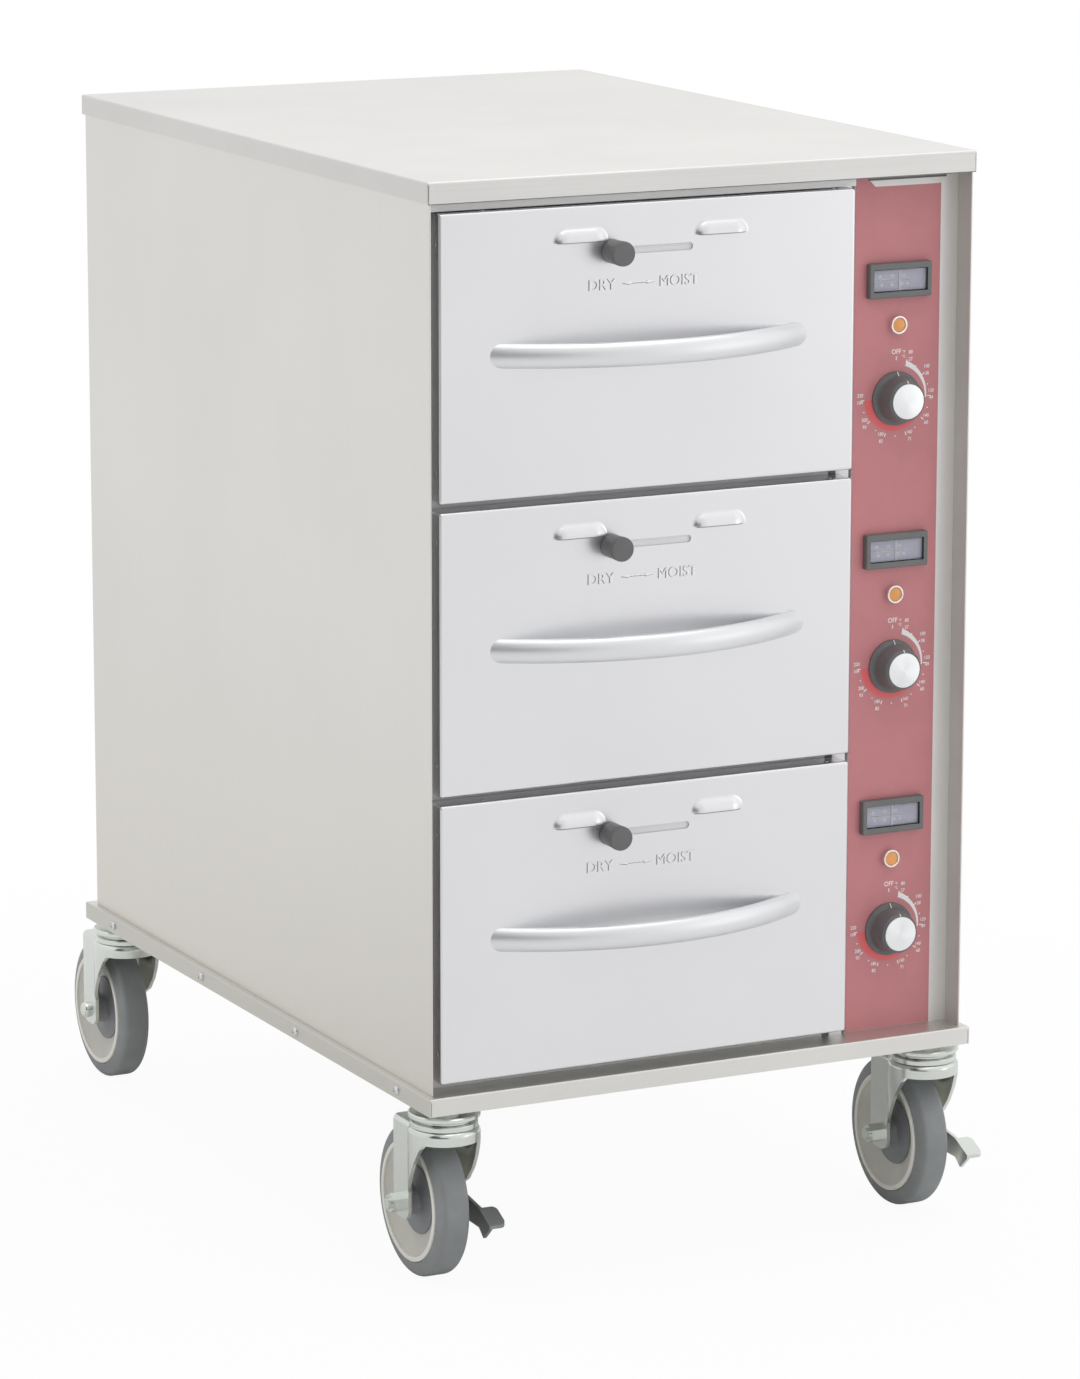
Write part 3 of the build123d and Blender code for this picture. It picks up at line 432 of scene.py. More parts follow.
class Palette:
    """Every finish of the cabinet, made once and shared."""

    flank_start: float = 0.0015
    flank_end: float = 0.0004
    strip_light: float = 0.0040
    strip_shade: float = 0.0030

    def __init__(self) -> None:
        """Build all the materials."""
        self.add_sheets()
        self.add_metals()
        self.add_plastics()

    def add_sheets(self) -> None:
        """Build the finishes of the sheet metal."""
        self.front_steel = Steel(
            "front_steel",
            shown(233, 233, 235),
            Grain.ALONG_X,
            rough=0.30,
            spread=0.015,
            line_depth=0.000003,
            cloud=0.015,
        ).material()
        # Painted shade: the side sheets turn darker and warmer towards the bottom.
        self.side_steel = Steel(
            "side_steel",
            shown(231, 229, 226),
            Grain.ALONG_Z,
            cloud=0.012,
            fade=(0.60, 0.18),
            faded=shown(222, 219, 212),
            fade_axis="Z",
        ).material()
        self.lid_steel = Steel(
            "lid_steel", shown(228, 227, 225), Grain.ALONG_X, rough=0.62, line_depth=0.000006, cloud=0.02
        ).material()
        base_low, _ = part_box("base_tray")
        # Painted shade: the base tray's left lip is set darker than its front.
        self.base_steel = Steel(
            "base_steel",
            shown(226, 225, 221),
            Grain.ALONG_X,
            rough=0.45,
            cloud=0.02,
            fade=(base_low.x + self.flank_start, base_low.x + self.flank_end),
            faded=shown(210, 208, 201),
        ).material()
        _, skin_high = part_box("control_overlay")
        _, panel_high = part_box("control_panel")
        # Painted light: the steel strip's tone shifts from its lit edge by the red skin to its edge by the
        # shaded wall.
        self.panel_steel = Steel(
            "panel_steel",
            shown(232, 231, 229),
            Grain.ALONG_Z,
            metallic=0.4,
            fade=(skin_high.x + self.strip_light, panel_high.x - self.strip_shade),
            faded=shown(236, 233, 228),
        ).material()
        self.frame_steel = Steel("frame_steel", shown(238, 238, 237), Grain.ALONG_Z, metallic=0.1).material()
        self.post_steel = Steel("post_steel", shown(232, 232, 233), Grain.ALONG_Z, metallic=0.4).material()
        # Painted shade: a darker steel laid over the wall beside the control column.
        self.wall_steel = Steel("wall_steel", shown(206, 204, 200), Grain.ALONG_Z, metallic=0.5).material()
        self.shutter = Steel(
            "shutter_steel", shown(232, 232, 235), Grain.ALONG_X, rough=0.5, metallic=0.2
        ).material()
        self.inner_steel = Steel("inner_steel", shown(200, 200, 201), Grain.ALONG_Y, rough=0.3).material()
        self.pan_steel = Steel("pan_steel", shown(222, 222, 225), Grain.ALONG_Y, rough=0.22).material()

    def add_metals(self) -> None:
        """Build the finishes of the casters, handles, screws and stamped words."""
        self.zinc = Steel(
            "zinc_plate", shown(222, 226, 221), rough=0.22, spread=0.02, line_depth=0.000001, cloud=0.08
        ).material()
        # Darker zinc of the left brake pedal; the same finish lines the hood edges as painted shadow.
        self.dark_zinc = Steel("dark_zinc", shown(150, 153, 154), rough=0.40, line_depth=0.000002).material()
        self.screw_steel = Steel("screw_steel", shown(222, 223, 225), rough=0.22).material()
        self.sheath = Steel("heater_sheath", shown(120, 116, 112), rough=0.5, line_depth=0.00004).material()
        self.satin = Steel(
            "satin_handle",
            shown(232, 233, 234),
            Grain.ALONG_X,
            rough=0.42,
            spread=0.03,
            line_depth=0.000004,
            cloud=0.02,
        ).material()
        # Painted shade and painted highlight: a darker and a lighter copy of the lettering, set left and
        # right of the plain words.
        self.word_shade = Steel(
            "painted_word_shade", shown(168, 168, 170), rough=0.3, metallic=0.3, lean=-0.6
        ).material()
        self.word_light = Steel(
            "painted_word_highlight", shown(252, 252, 253), rough=0.25, metallic=0.4, lean=0.33
        ).material()
        self.ring_steel = Steel("ring_steel", shown(240, 240, 240), rough=0.2).material()

    def add_plastics(self) -> None:
        """Build the finishes of the prints, plastics, rubber, wool and window."""
        self.red = Moulded(
            "red_skin", shown(204, 132, 136), rough=0.38, tone=0.03, skin_depth=0.000012
        ).material()
        self.bright_red = Moulded("bright_red_print", shown(232, 106, 110), rough=0.4, tone=0.02).material()
        self.white_print = Moulded("white_print", shown(246, 246, 247), rough=0.45, tone=0.01).material()
        # Black plastic of the knobs, grips and gland; the same finish is laid as painted shade beside the
        # post, under the lid's lip and on the tab.
        self.black = Moulded(
            "black_plastic", shown(113, 113, 114), rough=0.42, tone=0.06, specular=0.35
        ).material()
        self.bezel = Moulded("gauge_bezel", shown(112, 113, 113), rough=0.4, tone=0.05, coat=0.1).material()
        self.gauge_card = Moulded("gauge_card", shown(206, 206, 222), rough=0.5, tone=0.04).material()
        self.needle = Moulded("needle_paint", shown(236, 236, 240), rough=0.4, tone=0.03).material()
        self.amber = Moulded("amber_lens", shown(241, 164, 90), rough=0.16, tone=0.06, coat=0.4).material()
        self.tyre = Moulded(
            "tyre_rubber", shown(140, 143, 144), rough=0.50, skin_cells=600.0, skin_depth=0.00004
        ).material()
        # Core and lip are one pale plastic: the core is set darker as painted shade in the dish, the lip
        # lighter as painted highlight on its edge.
        self.wheel_core = Moulded("wheel_core", shown(208, 206, 197), rough=0.5, tone=0.05).material()
        self.rim_lip = Moulded("rim_lip", shown(238, 236, 228), rough=0.4, tone=0.02).material()
        self.guard = Moulded("thread_guard", shown(138, 139, 143), rough=0.5, tone=0.05).material()
        self.wool = Moulded(
            "glass_wool", (0.62, 0.52, 0.25), rough=0.9, tone=0.25, skin_cells=260.0, skin_depth=0.0012
        ).material()
        self.window = Clear("gauge_window").material()


def rounded(corners: Sequence[tuple[float, float, float]], steps: int = 5) -> list[tuple[float, float]]:
    """Round the corners of an open outline.

    Args:
        corners: Points of (radius, height, corner radius).
        steps: Straight pieces in each round.

    Returns:
        The outline's points.
    """
    points = []
    last = len(corners) - 1
    for place, (across, up, radius) in enumerate(corners):
        if radius == 0 or place in (0, last):
            points.append((across, up))
            continue
        corner = Vector((across, up))
        before = (Vector(corners[place - 1][:2]) - corner).normalized()
        after = (Vector(corners[place + 1][:2]) - corner).normalized()
        half = before.angle(after) / 2
        middle = corner + (before + after).normalized() * (radius / math.sin(half))
        reach = radius / math.tan(half)
        start = corner + before * reach - middle
        end = corner + after * reach - middle
        first = math.atan2(start.y, start.x)
        turn = math.remainder(math.atan2(end.y, end.x) - first, 2 * math.pi)
        for step in range(steps + 1):
            angle = first + turn * step / steps
            points.append((middle.x + radius * math.cos(angle), middle.y + radius * math.sin(angle)))
    return points


def to_mesh(shape: bmesh.types.BMesh, place: Matrix = Matrix.Identity(4)) -> bpy.types.Mesh:
    """Turn a working mesh into a plain one, and free it.

    Args:
        shape: The working mesh.
        place: Where it goes.

    Returns:
        The plain mesh, in its place.
    """
    shape.transform(place)
    mesh = bpy.data.meshes.new("piece")
    shape.to_mesh(mesh)
    shape.free()
    return mesh


def outward(shape: bmesh.types.BMesh, place: Matrix) -> bpy.types.Mesh:
    """Turn a working mesh into a plain one in its place, with its faces outwards."""
    bmesh.ops.recalc_face_normals(shape, faces=shape.faces)
    return to_mesh(shape, place)


def facing_front(spot: Sequence[float]) -> Matrix:
    """Give the place at a spot, with Z towards the front."""
    return Matrix.Translation(spot) @ FACING_FRONT


def lathe(
    outline: Outline,
    place: Matrix,
    closed: bool = False,
    ripple: Callable[[float, float], float] | None = None,
    steps: int = ROUND_STEPS,
) -> bpy.types.Mesh:
    """Turn an outline about Z and put the result in its place.

    Args:
        outline: Points of (radius, height); a point on the axis closes that end.
        place: Where the turned shape goes.
        closed: Whether the last point joins the first.
        ripple: Gives a radius from a radius and an angle, for ribs.
        steps: Faces round the axis.

    Returns:
        The turned mesh, with its faces outwards.
    """
    shape = bmesh.new()
    rings = []
    for radius, height in outline:
        if radius == 0:
            rings.append([shape.verts.new((0, 0, height))] * steps)
            continue
        ring = []
        for step in range(steps):
            angle = 2 * math.pi * step / steps
            reach = ripple(radius, angle) if ripple else radius
            ring.append(shape.verts.new((reach * math.cos(angle), reach * math.sin(angle), height)))
        rings.append(ring)
    pairs = list(zip(rings, rings[1:]))
    if closed:
        pairs.append((rings[-1], rings[0]))
    for low, high in pairs:
        for step in range(steps):
            after = (step + 1) % steps
            corners = dict.fromkeys((low[step], low[after], high[after], high[step]))
            shape.faces.new(list(corners))
    return outward(shape, place)


def plate(points: Outline, thickness: float, place: Matrix) -> bpy.types.Mesh:
    """Make a thin plate from a flat outline.

    Args:
        points: The outline's corners, in order.
        thickness: The plate's thickness, from Z of nought upwards.
        place: Where the plate goes.

    Returns:
        The plate's mesh.
    """
    shape = bmesh.new()
    low, high = ([shape.verts.new((x, y, level)) for x, y in points] for level in (0, thickness))
    for face in (low, high):
        shape.faces.new(face)
    for step in range(len(low)):
        shape.faces.new((low[step - 1], low[step], high[step], high[step - 1]))
    return outward(shape, place)


def ribbon(
    outer: Outline, inner: Outline, lows: Sequence[float], tops: Sequence[float], place: Matrix
) -> bpy.types.Mesh:
    """Make an upright strip of sheet that follows a curve in plan.

    Args:
        outer: Plan points of its outer face.
        inner: Plan points of its inner face, as many.
        lows: Height of its lower edge at each point.
        tops: Height of its upper edge at each point.
        place: Where the strip goes.

    Returns:
        The strip's mesh, with its faces outwards.
    """
    shape = bmesh.new()
    rings = []
    for out, back, low, top in zip(outer, inner, lows, tops):
        spots = ((*out, low), (*out, top), (*back, top), (*back, low))
        rings.append([shape.verts.new(spot) for spot in spots])
    for near, far in zip(rings, rings[1:]):
        for side in range(4):
            after = (side + 1) % 4
            shape.faces.new((near[side], near[after], far[after], far[side]))
    shape.faces.new(rings[0])
    shape.faces.new(rings[-1])
    return outward(shape, place)


def between(left: float, right: float, low: float, high: float) -> list[tuple[float, float]]:
    """Give the corners of a rectangle between its four sides."""
    return [(left, low), (right, low), (right, high), (left, high)]


def rectangle(width: float, height: float) -> list[tuple[float, float]]:
    """Give the corners of a rectangle about the origin."""
    return between(-width / 2, width / 2, -height / 2, height / 2)


def joined(meshes: Iterable[bpy.types.Mesh]) -> bpy.types.Mesh:
    """Join meshes into one and remove them.

    Args:
        meshes: The meshes, each in its place.

    Returns:
        The one mesh.
    """
    shape = bmesh.new()
    for mesh in list(meshes):
        shape.from_mesh(mesh)
        bpy.data.meshes.remove(mesh)
    return to_mesh(shape)


def linked(name: str, data: bpy.types.ID) -> bpy.types.Object:
    """Add an object to the scene.

    Args:
        name: The object's name.
        data: Its mesh, curve, light or camera.

    Returns:
        The object.
    """
    added = bpy.data.objects.new(name, data)
    bpy.context.scene.collection.objects.link(added)
    return added


def evaluated(source: bpy.types.Object) -> bpy.types.Mesh:
    """Take a working object's finished form, and remove the object.

    Args:
        source: The working object.

    Returns:
        Its form as a plain mesh.
    """
    bpy.context.view_layer.update()
    graph = bpy.context.evaluated_depsgraph_get()
    mesh = bpy.data.meshes.new_from_object(source.evaluated_get(graph))
    bpy.data.objects.remove(source)
    return mesh


def letters(
    text: str,
    height: float,
    squeeze: float,
    depth: float,
    place: Matrix,
    weight: float = 0.0,
) -> bpy.types.Mesh:
    """Make flat lettering centred on its place.

    Args:
        text: The characters.
        height: Height of the tallest character.
        squeeze: Width against the plain letter's width.
        depth: Thickness of the letters.
        place: Where the lettering goes, from the XY plane.
        weight: How much the strokes swell, against the letters' size.

    Returns:
        The lettering's mesh.
    """
    curve = bpy.data.curves.new("lettering", "FONT")
    curve.body = text
    curve.extrude = LETTER_EXTRUDE
    curve.offset = weight
    curve.resolution_u = LETTER_STEPS
    mesh = evaluated(linked("lettering", curve))
    corners = [vertex.co for vertex in mesh.vertices]
    low = Vector([min(co[axis] for co in corners) for axis in range(3)])
    high = Vector([max(co[axis] for co in corners) for axis in range(3)])
    scale = height / (high.y - low.y)
    mesh.transform(Matrix.Translation(-(low + high) / 2))
    mesh.transform(Matrix.Diagonal((scale * squeeze, scale, depth / (high.z - low.z), 1.0)))
    mesh.transform(place)
    return mesh


class NodeBuilder(Nodes):
    """A Geometry Nodes tree with named inputs, which ends in real faces of one material."""

    def __init__(self, name: str) -> None:
        """Start a tree.

        Args:
            name: The tree's name.
        """
        super().__init__(bpy.data.node_groups.new(name, "GeometryNodeTree"))
        self.tree.interface.new_socket("Geometry", in_out="OUTPUT", socket_type="NodeSocketGeometry")
        self.sizes = self.tree.nodes.new("NodeGroupInput")
        self.keys: dict[str, str] = {}

    def size(self, name: str, kind: str) -> Socket:
        """Add a named input.

        Args:
            name: The input's name.
            kind: What it holds.

        Returns:
            The socket to read it from.
        """
        socket = self.tree.interface.new_socket(name, in_out="INPUT", socket_type=f"NodeSocket{kind}")
        self.keys[name] = socket.identifier
        return self.sizes.outputs[name]

    def copies(self, points: bpy.types.Node, turn: Socket) -> None:
        """Set turned copies of the part on points, and end in real faces with the finish.

        Args:
            points: The node that gives the points.
            turn: How far each copy is turned about each axis.
        """
        part = self.add("GeometryNodeObjectInfo", Object=self.size("Part", "Object")).outputs["Geometry"]
        spread = {"Points": points.outputs[0], "Instance": part, "Rotation": turn}
        copies = self.add("GeometryNodeInstanceOnPoints", **spread)
        real = self.add("GeometryNodeRealizeInstances", Geometry=copies.outputs[0])
        finish = self.size("Finish", "Material")
        dressed = self.add("GeometryNodeSetMaterial", Geometry=real.outputs[0], Material=finish)
        self.add("NodeGroupOutput", Geometry=dressed.outputs[0])

    def mesh(self, **values: object) -> bpy.types.Mesh:
        """Run the tree.

        Args:
            values: The value of each input, by name.

        Returns:
            The result as a plain mesh.
        """
        source = linked("repeats", bpy.data.meshes.new("repeats"))
        run = source.modifiers.new("repeats", "NODES")
        run.node_group = self.tree
        for name, value in values.items():
            run[self.keys[name]] = value
        return evaluated(source)


def ring_builder() -> NodeBuilder:
    """Build the tree that sets copies of a part at even clock angles about Y, as seen from the front.

    Returns:
        The tree.
    """
    nodes = NodeBuilder("parts_on_a_ring")
    count = nodes.size("Count", "Int")
    first = nodes.size("First", "Float")
    step = nodes.size("Step", "Float")
    radius = nodes.size("Radius", "Float")
    middle = nodes.size("Middle", "Vector")
    index = nodes.add("GeometryNodeInputIndex").outputs[0]
    angle = nodes.work(NUMBER, "MULTIPLY_ADD", index, step, first)
    across = nodes.work(NUMBER, "SINE", angle)
    up = nodes.work(NUMBER, "COSINE", angle)
    spoke = nodes.add("ShaderNodeCombineXYZ", X=across, Z=up).outputs[0]
    reach = nodes.add("ShaderNodeCombineXYZ", X=radius, Y=radius, Z=radius).outputs[0]
    place = nodes.work(VECTOR, "MULTIPLY_ADD", spoke, reach, middle)
    points = nodes.add("GeometryNodePoints", Count=count, Position=place)
    nodes.copies(points, nodes.add("ShaderNodeCombineXYZ", Y=angle).outputs[0])
    return nodes


def row_builder() -> NodeBuilder:
    """Build the tree that sets turned copies of a part in an even row.

    Returns:
        The tree.
    """
    nodes = NodeBuilder("parts_in_a_row")
    line = nodes.add(
        "GeometryNodeMeshLine",
        Count=nodes.size("Count", "Int"),
        Start_Location=nodes.size("First", "Vector"),
        Offset=nodes.size("Step", "Vector"),
    )
    nodes.copies(line, nodes.size("Turn", "Vector"))
    return nodes


def add_piece(
    name: str, mesh: bpy.types.Mesh, finish: bpy.types.Material, body: str, smooth: float = 35.0
) -> bpy.types.Object:
    """Add a finished piece that rides on a body.

    Args:
        name: The piece's name.
        mesh: Its mesh, already in its place.
        finish: Its material.
        body: The body that it rides on.
        smooth: Edges flatter than this many degrees shade smooth.

    Returns:
        The piece.
    """
    mesh.name = name
    mesh.materials.clear()
    mesh.materials.append(finish)
    mesh.shade_smooth()
    mesh.set_sharp_from_angle(angle=math.radians(smooth))
    piece = linked(name, mesh)
    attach(piece, body)
    log.info("%s rides on %s", name, body)
    return piece


def dress(node: str, finish: bpy.types.Material, edge: float = 0.0) -> None:
    """Give a CAD node its finish, and softened edges if it has any.

    Args:
        node: The node's name.
        finish: Its material.
        edge: Width of the softened edges, or nought for none.
    """
    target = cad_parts[node]
    target.data.materials.clear()
    target.data.materials.append(finish)
    if edge:
        weld = target.modifiers.new("weld", "WELD")
        weld.merge_threshold = WELD_GAP
        soften = target.modifiers.new("soften", "BEVEL")
        soften.width = edge
        soften.segments = EDGE_STEPS
        soften.limit_method = "ANGLE"
        soften.angle_limit = EDGE_ANGLE
        soften.harden_normals = True
    log.info("%s dressed in %s", node, finish.name)


@dataclass
class Cabinet:
    """The sheet metal box, what is inside it, and its screws."""

    palette: Palette
    edge: float = 0.0004
    head_radius: float = 0.0040
    head_height: float = 0.0030
    head_edge: float = 0.0011
    head_rim: float = 0.0006
    head_crown: float = 0.0030
    head_steps: int = 24
    cross_length: float = 0.0046
    cross_width: float = 0.0010
    cross_depth: float = 0.0012
    screw_rows: int = 4
    end_room: float = 0.058
    flange_room: float = 0.0073
    post_width: float = 0.0127
    post_shade: float = 0.0068
    post_thickness: float = 0.0006
    lip_height: float = 0.0180
    hem_height: float = 0.0007
    hem_depth: float = 0.0012
    rail_depth: float = 0.0080
    rail_drop: float = 0.0074
    rail_end: float = 0.0040
    tab_width: float = 0.0760
    tab_thickness: float = 0.0012
    seam_drop: float = 0.0050
    seam_height: float = 0.0020

    def dress_nodes(self) -> None:
        """Dress the CAD nodes of the box, of what is inside it and of the control column."""
        look = self.palette
        folded = {
            "left_side_panel": look.side_steel,
            "right_side_panel": look.side_steel,
            "back_panel": look.side_steel,
            "front_frame": look.frame_steel,
            "control_panel": look.panel_steel,
        }
        plain = {
            "top_cover": look.lid_steel,
            "base_tray": look.base_steel,
            "compartment_liners": look.inner_steel,
            "slide_outer_members": look.inner_steel,
            "thermostats": look.inner_steel,
            "caster_rails": look.zinc,
            "caster_stems": look.zinc,
            "heating_elements": look.sheath,
            "insulation": look.wool,
            "cord_gland": look.black,
            "control_overlay": look.red,
            "thermometer_cases": look.bezel,
            "thermometer_windows": look.window,
        }
        for node, finish in folded.items():
            dress(node, finish, self.edge)
        for node, finish in plain.items():
            dress(node, finish)

    def add_post(self) -> None:
        """Face the frame's right post with its bright strip, and lay a dark strip beside it as painted shade
        in the gap.
        """
        low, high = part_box("front_frame")
        rise, middle = high.z - low.z, (low.z + high.z) / 2
        place = facing_front((high.x - self.post_width / 2, low.y, middle))
        strip = plate(rectangle(self.post_width, rise), self.post_thickness, place)
        add_piece("post_facing", strip, self.palette.post_steel, "cabinet")
        # The black strip beside the post is painted shade in the gap, not a part of its own.
        beside = Matrix.Translation((-self.post_width / 2 - self.post_shade / 2, 0, 0))
        shade = plate(rectangle(self.post_shade, rise), self.post_thickness / 2, place @ beside)
        add_piece("post_seal", shade, self.palette.black, "cabinet")

    def add_hem(self) -> None:
        """Turn a hem under the lid's front lip, coloured black as painted shade under the lip."""
        low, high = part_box("top_cover")
        level = high.z - self.lip_height - self.hem_height / 2
        place = facing_front(((low.x + high.x) / 2, low.y + self.hem_depth, level))
        strip = plate(rectangle(high.x - low.x - 2 * self.hem_depth, self.hem_height), self.hem_depth, place)
        # The hem's black is painted shade, the dark line under the lid's lip.
        add_piece("lid_hem", strip, self.palette.black, "cabinet")

    def add_top_rail(self) -> None:
        """Hang the bright rail behind the lid's lip, seen in the gap over the top drawer."""
        low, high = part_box("top_cover")
        front_low, front_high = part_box(f"drawer_front_{DRAWERS[0]}")
        top, bottom = high.z - self.tab_thickness, high.z - self.lip_height - self.rail_drop
        spot = ((front_low.x + front_high.x) / 2, low.y + self.rail_depth, (top + bottom) / 2)
        width = front_high.x - front_low.x + 2 * self.rail_end
        rail = plate(rectangle(width, top - bottom), self.post_thickness, facing_front(spot))
        add_piece("top_rail", rail, self.palette.frame_steel, "cabinet")

    def add_column_edges(self) -> None:
        """Lay painted shade on the wall beside the control column, and a painted shadow line on the lid's tab
        under the lip.
        """
        _, lid_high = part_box("top_cover")
        _, base_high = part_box("base_tray")
        wall_low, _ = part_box("right_side_panel")
        panel_low, panel_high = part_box("control_panel")
        skin_low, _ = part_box("control_overlay")
        under = lid_high.z - self.lip_height
        rise, depth = under - base_high.z, panel_low.y - wall_low.y
        spot = (panel_high.x, (panel_low.y + wall_low.y) / 2, (under + base_high.z) / 2)
        # This plate is painted shade on the wall beside the column.
        wall = plate(rectangle(rise, depth), self.post_thickness / 2, Matrix.Translation(spot) @ FACING_LEFT)
        add_piece("column_wall", wall, self.palette.wall_steel, "cabinet")
        middle = (panel_low.x + panel_high.x) / 2
        spot = (middle, skin_low.y - self.tab_thickness, under - self.seam_drop)
        # A black line of painted shadow, where the lid's lip shades the tab; the variable seam holds it.
        seam = plate(rectangle(self.tab_width, self.seam_height), PRINT_DEPTH, facing_front(spot))
        add_piece("tab_seam", seam, self.palette.black, "cabinet")

    def screw_head(self) -> bpy.types.Object:
        """Make a pan head with a cross recess, standing on the XY plane.

        Returns:
            The head as a working object.
        """
        radius, height = self.head_radius, self.head_height
        corners = [
            (0, 0, 0),
            (radius, 0, 0),
            (radius, self.head_edge, self.head_rim),
            (radius / 3, height, self.head_crown),
            (0, height, 0),
        ]
        head = linked("screw_head", lathe(rounded(corners), Matrix.Identity(4), steps=self.head_steps))
        floor = Matrix.Translation((0, 0, height - self.cross_depth))
        cutters = []
        for sides in ((self.cross_length, self.cross_width), (self.cross_width, self.cross_length)):
            cutters.append(linked("cross_bar", plate(rectangle(*sides), 2 * self.cross_depth, floor)))
            head.modifiers.new("cross", "BOOLEAN").object = cutters[-1]
        mesh = evaluated(head)
        for cutter in cutters:
            bpy.data.objects.remove(cutter)
        return linked("screw_head", mesh)

    def add_screws(self, rows: NodeBuilder) -> None:
        """Stand the cross-head screws along the base lips and down the back.

        Args:
            rows: The tree that sets parts in a row.
        """
        head = self.screw_head()
        low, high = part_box("cabinet_screws")
        _, lid_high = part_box("top_cover")
        base_low, base_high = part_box("base_tray")
        back_low, back_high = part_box("back_panel")
        gaps = self.screw_rows - 1
        flank_z = low.z + self.head_radius
        flank_step = (0.0, (lid_high.y - self.end_room - low.y - self.head_radius) / gaps, 0.0)
        back_z = base_high.z + self.end_room
        back_step = (0.0, 0.0, (high.z - self.head_radius - back_z) / gaps)
        flank_y = low.y + self.head_radius
        runs = [
            ((base_low.x, flank_y, flank_z), flank_step, (0.0, -math.pi / 2, 0.0)),
            ((base_high.x, flank_y, flank_z), flank_step, (0.0, math.pi / 2, 0.0)),
            ((back_low.x + self.flange_room, back_high.y, back_z), back_step, (-math.pi / 2, 0.0, 0.0)),
            ((back_high.x - self.flange_room, back_high.y, back_z), back_step, (-math.pi / 2, 0.0, 0.0)),
        ]
        finish = self.palette.screw_steel
        meshes = [
            rows.mesh(Count=self.screw_rows, First=first, Step=step, Turn=turn, Part=head, Finish=finish)
            for first, step, turn in runs
        ]
        bpy.data.objects.remove(head)
        screws = add_piece("cross_head_screws", joined(meshes), finish, "cabinet")
        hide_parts("cabinet_screws")


